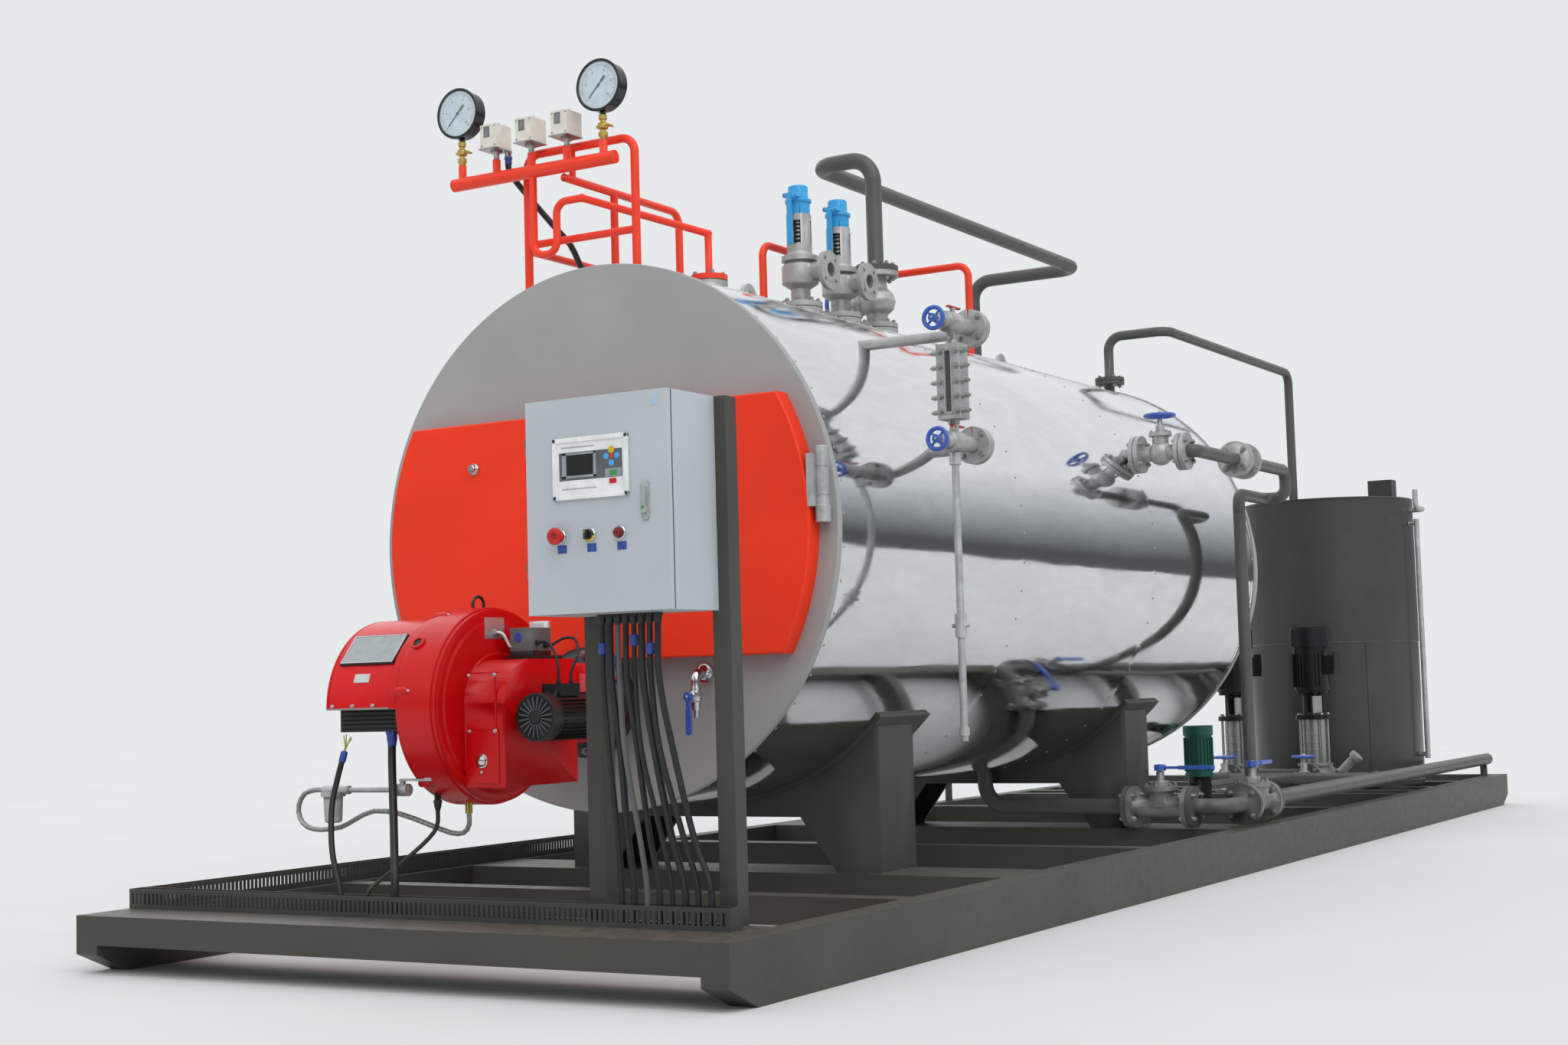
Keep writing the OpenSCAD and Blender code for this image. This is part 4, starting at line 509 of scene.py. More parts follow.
def smoothed_node(name, look, picks=(), degrees=34):
    """A merged, smoothly shaded copy of a CAD node that stands for it. Each of picks is a finish and a
    test on a face's middle, in millimetres from the front end, for the faces that get that finish."""
    source = frame["nodes"][name]
    bm = bmesh.new()
    bm.from_mesh(source.data)
    bmesh.ops.remove_doubles(bm, verts=bm.verts, dist=0.00002)
    bmesh.ops.join_triangles(bm, faces=bm.faces, angle_face_threshold=0.01, angle_shape_threshold=3.1)
    for face in bm.faces:
        c = face.calc_center_median() * 1000
        c.y += SKID_L / 2
        face.material_index = 0
        for number, (_, test) in enumerate(picks, 1):
            if test(c):
                face.material_index = number
    mesh = bpy.data.meshes.new(name + "_skin")
    bm.to_mesh(mesh)
    bm.free()
    smooth_by_angle(mesh, degrees)
    made = bpy.data.objects.new(name + "_skin", mesh)
    bpy.context.scene.collection.objects.link(made)
    even_normals(made)
    for kind in (look, *(pick[0] for pick in picks)):
        mesh.materials.append(finish(kind))
    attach(made, source["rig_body"])
    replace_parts(made, name)
    return made


def stands_for(made, *names):
    """Hides the CAD nodes that a piece stands for, and returns the piece."""
    for name in names:
        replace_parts(made, name)
    return made


# Settings that a user would change


class BoilerColours(PropertyGroup):
    skid: FloatVectorProperty(name="Skid", description="Paint of the skid and saddles", subtype="COLOR_GAMMA", default=(0.268, 0.262, 0.238))
    tray: FloatVectorProperty(name="Tray", description="Paint of the cable trays", subtype="COLOR_GAMMA", default=(0.25, 0.255, 0.24))
    cladding: FloatVectorProperty(name="Cladding", description="Tone of the polished sheet", subtype="COLOR_GAMMA", default=(0.86, 0.865, 0.87))
    head: FloatVectorProperty(name="Head", description="Primer of the head plates", subtype="COLOR_GAMMA", default=(0.62, 0.62, 0.62))
    orange: FloatVectorProperty(name="Front door", description="Paint of the front door", subtype="COLOR_GAMMA", default=(0.95, 0.215, 0.085))
    tubes: FloatVectorProperty(name="Orange tubes", description="Paint of the gauge frames", subtype="COLOR_GAMMA", default=(0.94, 0.25, 0.15))
    burner: FloatVectorProperty(name="Burner", description="Powder coat of the burner", subtype="COLOR_GAMMA", default=(0.8, 0.03, 0.06))
    cabinet: FloatVectorProperty(name="Cabinet", description="Powder coat of the cabinet", subtype="COLOR_GAMMA", default=(0.71, 0.74, 0.76))
    pipes: FloatVectorProperty(name="Pipes", description="Paint of the dark pipes", subtype="COLOR_GAMMA", default=(0.31, 0.31, 0.30))
    tank: FloatVectorProperty(name="Tank", description="Paint of the feed tank", subtype="COLOR_GAMMA", default=(0.25, 0.25, 0.245))
    caps: FloatVectorProperty(name="Valve caps", description="Paint of the safety valve caps", subtype="COLOR_GAMMA", default=(0.19, 0.62, 0.86))
    wheels: FloatVectorProperty(name="Hand wheels", description="Paint of wheels and levers", subtype="COLOR_GAMMA", default=(0.2, 0.35, 0.7))
    valves: FloatVectorProperty(name="Valves", description="Paint of the valve castings", subtype="COLOR_GAMMA", default=(0.70, 0.705, 0.70))


class BoilerSizes(PropertyGroup):
    bolt: FloatProperty(name="Bolt", description="Across the flats of a flange bolt", default=0.019, unit="LENGTH")
    rivet: FloatProperty(name="Rivet", description="Head diameter of a cladding rivet", default=0.009, unit="LENGTH")
    rivet_pitch: FloatProperty(name="Rivet pitch", description="Distance between cladding rivets", default=0.12, unit="LENGTH")
    dial_marks: IntProperty(name="Dial marks", description="Marks round a gauge dial", default=51, min=11, max=101)
    key_light: FloatProperty(name="Key light", description="Strength of the main soft light", default=1.25)


# Stage


# The tone of the lit floor far away, so that floor and backdrop meet without a line
BACKDROP = "#e7eaeb"


class BoilerStage(Operator):
    """Camera, floor and soft studio light."""

    bl_idname = "boiler.stage"
    bl_label = "Stage"

    def execute(self, context):
        scene = context.scene
        scene.view_settings.view_transform = "Standard"
        lens = bpy.data.cameras.new("view_camera")
        lens.sensor_width = 36.0
        lens.lens = 49.415
        lens.clip_end = 200.0
        camera = bpy.data.objects.new("view_camera", lens)
        scene.collection.objects.link(camera)
        yaw, pitch, roll = (math.radians(a) for a in (30.70, 4.381, -1.619))
        ahead = Vector((-math.sin(yaw) * math.cos(pitch), math.cos(yaw) * math.cos(pitch), math.sin(pitch)))
        right = Vector((math.cos(yaw), math.sin(yaw), 0))
        up = right.cross(ahead)
        across = right * math.cos(roll) + up * math.sin(roll)
        upward = up * math.cos(roll) - right * math.sin(roll)
        place = at(3706.9, -4152.1, 732.4)
        camera.matrix_world = Matrix([[across[i], upward[i], -ahead[i], place[i]] for i in range(3)] + [[0, 0, 0, 1]])
        scene.camera = camera

        world = scene.world or bpy.data.worlds.new("studio")
        scene.world = world
        world.use_nodes = True
        tree = world.node_tree
        tree.nodes.clear()
        seen = node(tree, "ShaderNodeLightPath").outputs
        height = node(tree, "ShaderNodeSeparateXYZ", {0: node(tree, "ShaderNodeTexCoord").outputs["Generated"]}).outputs[2]
        # An even sky lights the object. Metal shows the pale backdrop over a greyer band at the horizon.
        light = node(tree, "ShaderNodeBackground", {"Color": linear("#f6f8fa"), "Strength": ramp(tree, height, 0.0, 1.0, 0.6, 1.05)})
        band = mixed(tree, ramp(tree, height, 0.03, 0.13), linear("#595d60"), linear("#a3a8ac"))
        mirrored = mixed(tree, ramp(tree, height, 0.13, 0.3), band, linear("#f4f7fa"))
        backdrop = mixed(tree, seen["Is Glossy Ray"], linear(BACKDROP), mirrored)
        shown = node(tree, "ShaderNodeBackground", {"Color": backdrop, "Strength": 1.0})
        plain = times(tree, seen["Is Camera Ray"], times(tree, seen["Is Glossy Ray"], seen["Is Transmission Ray"], "MAXIMUM"), "MAXIMUM")
        both_ways = node(tree, "ShaderNodeMixShader", {0: plain, 1: light.outputs[0], 2: shown.outputs[0]})
        node(tree, "ShaderNodeOutputWorld", {"Surface": both_ways.outputs[0]})

        bm = bmesh.new()
        for x, y in ((-60, -60), (60, -60), (60, 60), (-60, 60)):
            bm.verts.new((x, y, 0))
        bm.faces.new(bm.verts)
        mesh = bpy.data.meshes.new("studio_floor")
        bm.to_mesh(mesh)
        bm.free()
        floor = bpy.data.objects.new("studio_floor", mesh)
        scene.collection.objects.link(floor)
        look, ftree, shader = material("pale_studio_floor", Roughness=0.9, Specular_IOR_Level=0.0)
        where = node(ftree, "ShaderNodeTexCoord").outputs["Object"]
        tone = mixed(ftree, ramp(ftree, noise(ftree, where, 900, 4), 0.3, 0.7), linear("#d4d5d5"), linear("#d7d8d8"))
        ftree.links.new(tone, shader.inputs["Base Color"])
        mesh.materials.append(look)

        for name, towards, spread, strength in (
            ("key_light", (-0.62, 0.48, -0.9), 60, scene.boiler_sizes.key_light),
            ("rear_light", (0.7, -0.4, -0.6), 60, scene.boiler_sizes.key_light * 0.3),
        ):
            lamp = bpy.data.lights.new(name, "SUN")
            lamp.angle = math.radians(spread)
            lamp.energy = strength
            holder = bpy.data.objects.new(name, lamp)
            scene.collection.objects.link(holder)
            holder.rotation_euler = Vector(towards).to_track_quat("-Z", "Y").to_euler()
        return {"FINISHED"}


# Free cables and hoses


CAB_FRONT = 63.8
CAB_X = 485.0
CAB_Z = 923.0
TRAY_FLOOR = DECK + 3
BURNER_Y = 532.0
BURNER_Z = 705.0
GRILLE_Z = BURNER_Z - 62
GLAND = Vector((-110, BURNER_Y - 132, BURNER_Z - 258))
NIPPLE = Vector((-60, BURNER_Y - 62, BURNER_Z - 290))
FILTER = Vector((-440, BURNER_Y - 182, BURNER_Z - 310))


HEADER_Y = SHELL_FRONT + 220
STUB_TOP = AXIS_Z + 1195 + 21 + 38
STUB_X = [-669 + 140 * i for i in range(5)]
LEAD_X = 388.0


def cable_routes():
    """The routes of the part's free cables: node, name, points, diameter and points between them."""
    routes = []
    for i in range(8):
        x = CAB_X + 135 + i * 23.5
        foot = 622 + i * 37
        sway = (0, 5, -3, 4, -5, 2, -4, 3)[i]
        points = [
            (x, CAB_FRONT + 96, CAB_Z - 22.3),
            (x + sway * 0.6, CAB_FRONT + 97 - sway, CAB_Z - 160),
            (x + (foot - x) * 0.2 + sway, CAB_FRONT + 112 + sway, CAB_Z - 330),
            (x + (foot - x) * 0.62 - sway, CAB_FRONT + 140 + sway, CAB_Z - 540),
            (foot, 215, CAB_Z - 660),
            (foot, 215, TRAY_FLOOR + 0.3),
        ]
        routes.append(("cabinet_cables", "cabinet_cable_%d" % (i + 1), points, (16, 18, 14, 16, 13, 18, 15, 16)[i], 6))
    supply = [
        (-230, 356, GRILLE_Z - 0.3), (-230, 356, GRILLE_Z - 24), (-226, 350, 560), (-180, 300, 430),
        (-112, 224, 280), (-105, 215, 200), (-105, 215, TRAY_FLOOR + 0.3),
    ]
    sensor = [
        tuple(GLAND - Vector((0, 0, 0.3))), tuple(GLAND - Vector((0, 0, 16))), (GLAND.x - 6, GLAND.y - 10, 370),
        (-166, 310, 290), (-196, 224, 232), (-200, 215, 196), (-200, 215, TRAY_FLOOR + 0.3),
    ]
    spare = [
        (-353, 300, 585), (-368, 290, 520), (-372, 270, 440), (-345, 240, 330),
        (-302, 219, 240), (-293, 215, 196), (-293, 215, TRAY_FLOOR + 0.3),
    ]
    routes.append(("burner_cables", "burner_supply_cable", supply, 22, 5))
    routes.append(("burner_cables", "burner_sensor_cable", sensor, 12, 5))
    routes.append(("burner_cables", "spare_cable", spare[::-1], 16, 5))
    routes.append(("burner_cables", "ignition_wire_1", [
        (122, 562, 874), (134, 560, 875), (160, 554, 870), (188, 540, 842), (205, 532, 806), (207, 530, 784), (207, 530, 774),
    ], 8, 5))
    routes.append(("burner_cables", "ignition_wire_2", [
        (122, 596, 866), (136, 598, 867), (172, 606, 884), (212, 600, 880), (236, 580, 842), (232, 562, 804), (228, 558, 784), (228, 558, 774),
    ], 8, 5))
    f, n = FILTER, NIPPLE
    hose = [
        f + Vector((-34.3, 0, 90)), f + Vector((-66, 0, 90)), f + Vector((-105, 0, 80)), f + Vector((-128, 0, 48)),
        f + Vector((-124, 0, 12)), f + Vector((-98, 2, -12)), f + Vector((-55, 8, -20)), f + Vector((0, 30, -14)),
        f + Vector((46, 40, 8)), f + Vector((110, 42, 30)), f + Vector((190, 56, 22)), f + Vector((270, 76, -6)),
        n - Vector((52, 14, 52)), n - Vector((16, 4, 52)), n - Vector((0, 0, 30)), n - Vector((0, 0, 0.3)),
    ]
    routes.append(("fuel_hoses", "fuel_hose", [tuple(p) for p in hose], 14, 2))
    lean = math.asin(LEAD_X / SHELL_R)
    out = Vector((-math.sin(lean), 0, math.cos(lean)))
    foot = Vector((0, 1700, AXIS_Z)) + out * SHELL_R
    top = Vector((STUB_X[1] + 24, HEADER_Y + 30, STUB_TOP + 4))
    lead = [
        top - Vector((0, 0, 0.3)), top - Vector((0, 0, 26)), top + Vector((6, 8, -52)), top + Vector((22, 40, -92)),
        top + Vector((62, 64, -150)), top + Vector((118, 82, -222)), top + Vector((130, 150, -272)),
        Vector((-387, 1500, 2110)), foot + Vector((-4, -70, 96)), foot + out * 60 - Vector((0, 16, 0)),
        foot + out * 26, foot + out * 0.5,
    ]
    routes.append(("header_cable", "header_switch_cable", [tuple(p) for p in lead], 20, 3))
    return routes


def gland(bm, place, direction, nut, cable, length=26.0):
    """A cable gland: hex nut, dome and a tapered sleeve that ends on the cable."""
    turned(bm, [(0, 0), (nut, 0), (nut, 8), (0, 8)], place, direction, sides=6)
    sleeve = [(0, 6), (nut * 0.85, 6), (nut * 0.85, length * 0.5), (cable + 1.2, length * 0.85), (cable + 0.5, length), (0, length)]
    turned(bm, sleeve, place, direction, sides=20)


class BoilerCables(Operator):
    """Free cables from the cabinet, the burner and the gauge header, and the fuel hose."""

    bl_idname = "boiler.cables"
    bl_label = "Cables"

    def execute(self, context):
        bm = bmesh.new()
        tip = Vector((-353, 300, 585))
        way = Vector((15, 10, 65)).normalized()
        turned(bm, [(0, -22), (9.4, -22), (9.8, -16), (9.4, 4), (6, 9), (0, 9)], tip, way, sides=16)
        tape = piece("spare_cable_tape", bm, "signal_blue")
        bm = bmesh.new()
        for k in range(4):
            a = k * 1.7
            ends = [tip + way * 6, tip + way * 26 + Vector((4 * math.cos(a), 4 * math.sin(a), 0)), tip + way * 44 + Vector((13 * math.cos(a), 13 * math.sin(a), 4 * k))]
            swept(bm, curve_through([at(*e) for e in ends], 4), 1.6, 8)
        cores = piece("spare_cable_cores", bm, "wire")
        for cad_node, name, points, size, steps in cable_routes():
            line = curve_through([at(*p) for p in points], steps)
            data = bpy.data.curves.new(name, "CURVE")
            data.dimensions = "3D"
            data.bevel_depth = size * 0.0005
            data.bevel_resolution = 4
            data.use_fill_caps = True
            spline = data.splines.new("POLY")
            spline.points.add(len(line) - 1)
            for target, p in zip(spline.points, line):
                target.co = (*p, 1)
            spline.use_smooth = True
            made = bpy.data.objects.new(name, data)
            context.scene.collection.objects.link(made)
            # Cable 3's grey sheath is painted sheen on a black cable.
            data.materials.append(finish({"fuel_hose": "braid", "cabinet_cable_3": "sheen_grey_cable"}.get(name, "cable")))
            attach(made, BASE)
            stands_for(made, cad_node)
        bm = bmesh.new()
        for i in range(8):
            gland(bm, (CAB_X + 135 + i * 23.5, CAB_FRONT + 96, CAB_Z), (0, 0, -1), 13, 8)
        gland(bm, (GLAND.x, GLAND.y, GLAND.z + 8), (0, 0, -1), 12, 6, 30)
        for y, z in ((562, 874), (596, 866)):
            gland(bm, (110.6, y, z), (1, 0, 0), 7, 4, 14)
        for x, y in ((207, 530), (228, 558)):
            gland(bm, (x, y, 759.6), (0, 0, 1), 7, 4, 16)
        piece("cable_glands", bm, "black")
        bm = bmesh.new()
        for i, low in ((0, 70), (1, 96), (4, 52), (6, 74)):
            turned(bm, [(7, 0), (10.6, 0), (10.8, 1.5), (10.8, 26), (10.6, 27), (7, 27)], (CAB_X + 135 + i * 23.5, CAB_FRONT + 96, CAB_Z - low), (0, 0, -1), 20)
        piece("cable_marker_sleeves", bm, "signal_blue")
        bm = bmesh.new()
        gland(bm, (-230, 356, GRILLE_Z), (0, 0, -1), 17, 11, 40)
        gland(bm, (STUB_X[1] + 24, HEADER_Y + 30, STUB_TOP + 12), (0, 0, -1), 13, 10, 26)
        piece("blue_cable_glands", bm, "signal_blue")
        return {"FINISHED"}


# Finishes of the CAD nodes

SAFETY_Y = (2249.0, 2529.0)
STOP_Y = 2809.0
SAFETY_Z = 2042.0
LEVEL_Z = (1785.0, 1433.0)
PUMP_X = (167.0, 556.0)
PUMP_Y = 6103.0
PORT_Z = 238.0
FEED_X, FEED_Y, FEED_Z = 858.0, 3400.0, 1560.0
CHECK_X, CHECK_Y = 992.0, 3890.0
BLOW_Z = 244.5
QUICK = (730.0, 3590.0)
SLOW = (987.0, 3890.0)


def near(c, x, y, r):
    return math.hypot(c.x - x, c.y - y) < r


LOOKS = [
    ("skid", "left_rail right_rail cross_beams front_saddle rear_saddle cabinet_stand", ()),
    ("tray", "cable_trays", ()),
    ("head", "rear_smokebox", ()),
    ("tubes", "header_frame pipe_guard", ()),
    ("tubes", "gauge_header", [("valve", lambda c: c.z < 2051 and c.y > 1580)]),
    ("brass", "gauge_cocks", ()),
    (
        "ivory",
        "pressure_switches",
        [
            ("signal_blue", lambda c: c.z < 2474 and c.y > 1256),
            ("brass", lambda c: c.z < 2473.5),
            ("steel", lambda c: c.z < 2477.5),
            ("screen", lambda c: abs(c.y - 1202) < 4 and c.z > 2500 and c.z < 2556),
        ],
    ),
    (
        "valve",
        "safety_valves",
        [("zinc", lambda c: 2244 < c.z < 2368 and min(math.hypot(c.x, c.y - y) for y in SAFETY_Y) < 34)],
    ),
    ("cap", "safety_caps", ()),
    ("valve", "steam_stop_valve", [("wheel", lambda c: c.x < -160)]),
    ("valve", "level_gauge", ()),
    ("valve", "gauge_valves", [("signal_red", lambda c: abs(c.x - 950) < 8 and min(abs(c.z - z - 47.5) for z in LEVEL_Z) < 3)]),
    ("wheel", "upper_gauge_wheel lower_gauge_wheel feed_wheel quick_lever slow_lever drain_lever", ()),
    ("pale_metal", "gauge_drain fuel_filter", ()),
    ("valve", "feed_valve", [("steel", lambda c: c.z > FEED_Z + 103)]),
    ("dark_valve", "blowdown_valves", [("steel", lambda c: c.z > BLOW_Z + 133)]),
    ("pipes", "feed_pipe", [("valve", lambda c: CHECK_Y - 59 < c.y < CHECK_Y + 59)]),
    ("pipes", "steam_riser steam_main steam_drop feed_riser vent_riser vent_pipe blowdown_pipes", ()),
    (
        "pipes",
        "pump_pipes",
        [
            ("wheel", lambda c: c.z > 322),
            ("valve", lambda c: min(math.hypot(c.x - x, c.y - 5914) for x in PUMP_X) < 44),
            ("valve", lambda c: c.x > 596 and c.y > 6200 and c.z > PORT_Z + 20),
        ],
    ),
    ("tank", "tank_fittings", [("white_paint", lambda c: c.x > 930), ("pale_metal", lambda c: c.x > 879)]),
    ("steel", "feed_pumps", [("valve", lambda c: c.z < 286), ("motor", lambda c: c.z > 500)]),
    ("motor", "pump_motors burner_motor", ()),
    ("teal", "transfer_pump", [("motor", lambda c: c.z < 278)]),
    (
        "red",
        "burner_housing",
        [
            ("black", lambda c: c.z > 976 and abs(c.y - 538) < 44),
            ("black", lambda c: c.z < 470 and near(c, GLAND.x, GLAND.y, 14)),
            ("brass", lambda c: c.z < 440 and near(c, NIPPLE.x, NIPPLE.y, 14)),
            ("dark_steel", lambda c: c.y > 925),
        ],
    ),
    ("black", "burner_controls", [("white", lambda c: c.y > 630 and c.z > 840)]),
    ("cabinet", "cabinet_box", [("steel", lambda c: c.x < 484.9), ("black", lambda c: c.z < 922.9)]),
    ("cabinet", "cabinet_door", [("steel", lambda c: c.x < 486.9)]),
    ("chrome", "head_drain", ()),
]


class BoilerFinishes(Operator):
    """Smooth skins with their finishes over the CAD nodes."""

    bl_idname = "boiler.finishes"
    bl_label = "Finishes"

    def execute(self, context):
        for look, names, picks in LOOKS:
            for name in names.split():
                smoothed_node(name, look, picks)
        return {"FINISHED"}


# Boiler body


SEAM_ANGLE = 24.0
LAPS = (SHELL_FRONT + 1195.0, SHELL_FRONT + 2365.0)


class BoilerCladding(Operator):
    """Polished cladding in three lapped sheets, its seam strip and the lifting lugs."""

    bl_idname = "boiler.cladding"
    bl_label = "Cladding"

    def execute(self, context):
        front, back = SHELL_FRONT + HEAD_T, SHELL_BACK - HEAD_T
        bm = bmesh.new()
        profile = [(0, 0), (SHELL_R + 0.7, 0)]
        for lap in LAPS:
            profile += [(SHELL_R + 0.7, lap - front), (SHELL_R - 0.2, lap - front + 0.6)]
            profile += [(SHELL_R - 0.2, lap - front + 40), (SHELL_R + 0.7, lap - front + 60)]
        profile += [(SHELL_R + 0.7, back - front), (0, back - front)]
        turned(bm, profile, (0, front, AXIS_Z), (0, 1, 0), 256)
        stands_for(piece("cladding_sheets", bm, "cladding", degrees=50), "clad_shell")
        bm = bmesh.new()
        sector(bm, (0, front, AXIS_Z), (0, 1, 0), (0, 0, 1), (SHELL_R + 0.4, SHELL_R + 1.9), (SEAM_ANGLE - 1.2, SEAM_ANGLE + 1.2), (2, back - front - 2), 6)
        for y in (front + 1, back - 27):
            turned(bm, [(SHELL_R - 2, 0), (SHELL_R + 2.2, 0), (SHELL_R + 2.2, 26), (SHELL_R - 2, 26)], (0, y, AXIS_Z), (0, 1, 0), 192)
        piece("cladding_trims", bm, "cladding", degrees=30)
        bm = bmesh.new()
        top = AXIS_Z + SHELL_R
        for y in (SHELL_FRONT + 880, SHELL_BACK - 704):
            for s in (-1, 1):
                turned(bm, [(45, 0), (45, 5.5), (43.5, 6.2), (21.5, 6.2), (20, 5.4), (20, 0)], (0, y, top + 35), (s, 0, 0), 40)
            block(bm, (-5.8, y - 44.5, top - 4), (5.8, y + 44.5, top + 12), 1)
        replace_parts(piece("lifting_lugs", bm, "pale_metal"), "clad_shell")
        places, ways = [], []
        pitch = context.scene.boiler_sizes.rivet_pitch * 1000
        for k in range(int((back - front - 60) // pitch)):
            for side in (-0.75, 0.75):
                a = math.radians(SEAM_ANGLE + side)
                places.append((math.sin(a) * (SHELL_R + 1.8), front + 40 + k * pitch, AXIS_Z + math.cos(a) * (SHELL_R + 1.8)))
                ways.append((math.sin(a), 0, math.cos(a)))
        for y in (front + 14, LAPS[0] + 52, LAPS[1] + 52, back - 14):
            for k in range(54):
                a = math.radians(k * 360 / 54 + 2)
                r = SHELL_R + (2.1 if y in (front + 14, back - 14) else 0.5)
                places.append((math.sin(a) * r, y, AXIS_Z + math.cos(a) * r))
                ways.append((math.sin(a), 0, math.cos(a)))
        copies("cladding_rivets", "rivet", "steel", places, ways, Radius=context.scene.boiler_sizes.rivet / 2)
        return {"FINISHED"}


def door_outline(inset, y, steps=40):
    """Points round the front door, drawn in by inset, at y."""
    r, h = 751.0 - inset, 366.0 - inset
    a = math.asin(h / r)
    right = [(r * math.cos(-a + 2 * a * k / steps), r * math.sin(-a + 2 * a * k / steps)) for k in range(steps + 1)]
    return [at(x, y, AXIS_Z + z) for x, z in right] + [at(-x, y, AXIS_Z - z) for x, z in right]


def lofted(bm, loops):
    """A closed body through loops of points of equal count."""
    rings = [[bm.verts.new(p) for p in loop] for loop in loops]
    for low, high in zip(rings, rings[1:]):
        for k in range(len(low)):
            bm.faces.new((low[k], low[(k + 1) % len(low)], high[(k + 1) % len(low)], high[k]))
    bm.faces.new(rings[0])
    bm.faces.new(rings[-1])


class BoilerHeads(Operator):
    """Front head with the door and its hinge, and the rear smokebox's drum."""

    bl_idname = "boiler.heads"
    bl_label = "Heads and door"

    def execute(self, context):
        edge = [(0, 0), (807, 0), (809.8, 1.2), (811, 4), (811, 21), (809.8, 23.8), (807, 25), (0, 25)]
        bm = bmesh.new()
        turned(bm, edge, (0, SHELL_FRONT, AXIS_Z), (0, 1, 0), 224)
        stands_for(piece("front_head_plate", bm, "head", degrees=50), "front_head")
        bm = bmesh.new()
        # Half a millimetre proud of the solid under it
        turned(bm, [(r, h + 0.5 * (h > HEAD_T / 2)) for r, h in edge], (0, SHELL_BACK - HEAD_T, AXIS_Z), (0, 1, 0), 224)
        turned(bm, [(0, 0), (690.6, 0), (690.6, 296), (0, 296)], (0, SHELL_BACK, AXIS_Z), (0, 1, 0), 192)
        turned(bm, [(700, 0), (708, 0), (710.8, 3), (710.8, 22), (708, 25.4), (700, 25.4)], (0, SHELL_BACK + 294.6, AXIS_Z), (0, 1, 0), 192)
        piece("rear_drum", bm, "head", degrees=50)
        bm = bmesh.new()
        z = AXIS_Z + 5
        barrel = [(0, 0), (18, 0), (18, 58), (16.6, 59), (16.6, 61), (18, 62), (18, 138), (16.6, 139), (16.6, 141), (18, 142), (18, 198), (15, 200), (0, 200)]
        turned(bm, barrel, (778, 994, z), (0, 0, 1), 32)
        turned(bm, [(0, 0), (20, 0), (22, 2), (22, 48), (20, 50), (0, 50)], (778, 994, z - 14), (0, 0, 1), 32)
        block(bm, (764, 998, z + 24), (789, 1020.4, z + 184), 2)
        block(bm, (744, 962, z + 30), (766, 990, z + 178), 3)
        stands_for(piece("door_hinge_parts", bm, "pale_metal"), "front_head")
        bm = bmesh.new()
        lofted(bm, [door_outline(i, y) for i, y in ((1, 1019.6), (0, 1018), (0, 968), (0.8, 964), (3, 961.2), (6.5, 960))])
        stands_for(piece("front_door_plate", bm, "orange", degrees=40), "front_door")
        bm = bmesh.new()
        turned(bm, [(0, 0), (18, 0), (18, 4.4), (16.6, 6), (12.5, 6), (12.5, 17.4), (11, 19), (0, 19.2)], (-416, 960, AXIS_Z + 226), (0, -1, 0), 40)
        turned(bm, [(0, 18), (4.6, 18), (4.2, 20), (0, 20)], (-416, 960, AXIS_Z + 226), (0, -1, 0), 6)
        piece("sight_port", bm, "chrome")
        return {"FINISHED"}


class BoilerTank(Operator):
    """Feed tank with its welds and lid."""

    bl_idname = "boiler.tank"
    bl_label = "Feed tank"

    def execute(self, context):
        bm = bmesh.new()
        turned(bm, [(0, 0), (417, 0), (418, 1), (418, 1432), (0, 1432)], (460, 6820, DECK), sides=160)
        for z in (22, 716):
            turned(bm, [(416, z - 4), (418.9, z - 3), (419.6, z), (418.9, z + 3), (416, z + 4)], (460, 6820, DECK), sides=160)
        for k, (low, high) in enumerate(((24, 714), (718, 1428))):
            a = math.radians(-52 + 70 * k)
            x, y = 460 + 418 * math.cos(a), 6820 + 418 * math.sin(a)
            swept(bm, [at(x, y, DECK + low + (high - low) * i / 60) for i in range(61)], 3.4, 8)
        stands_for(piece("feed_tank_wall", bm, "tank", degrees=40), "feed_tank")
        bm = bmesh.new()
        turned(bm, [(0, -2), (420, -2), (421.5, -0.5), (421.5, 6.5), (419, 8), (0, 8)], (460, 6820, DECK + 1432), sides=160)
        stands_for(piece("feed_tank_lid", bm, "tank"), "tank_lid")
        return {"FINISHED"}


# Repeated small parts, grown on points

# Inputs of each kind of part with their values in metres
PART_INPUTS = {
    "bolt": (("Across flats", 0.019), ("Head height", 0.011), ("Washer", 0.0025)),
    "rivet": (("Radius", 0.0045),),
    "bar": (("Width", 0.002), ("Thickness", 0.001), ("Length", 0.01)),
}


def cylinder_from(tree, sides, radius, depth, low):
    """A cylinder on Z that starts at low."""
    made = node(tree, "GeometryNodeMeshCylinder", {"Vertices": sides, "Radius": radius, "Depth": depth}).outputs["Mesh"]
    middle = times(tree, times(tree, depth, 0.5), low, "ADD")
    up = node(tree, "ShaderNodeCombineXYZ", {2: middle}).outputs[0]
    return node(tree, "GeometryNodeTransform", {"Geometry": made, "Translation": up}).outputs[0]


def bolt_shape(tree, given):
    """Washer, hex head and the end of the stud."""
    flats, height, washer = given["Across flats"], given["Head height"], given["Washer"]
    joined = node(tree, "GeometryNodeJoinGeometry")
    for part in (
        cylinder_from(tree, 16, times(tree, flats, 0.72), washer, 0.0),
        cylinder_from(tree, 6, times(tree, flats, 0.577), height, washer),
        cylinder_from(tree, 10, times(tree, flats, 0.3), times(tree, height, 0.5), times(tree, height, 1.1)),
    ):
        tree.links.new(part, joined.inputs[0])
    return joined.outputs[0]


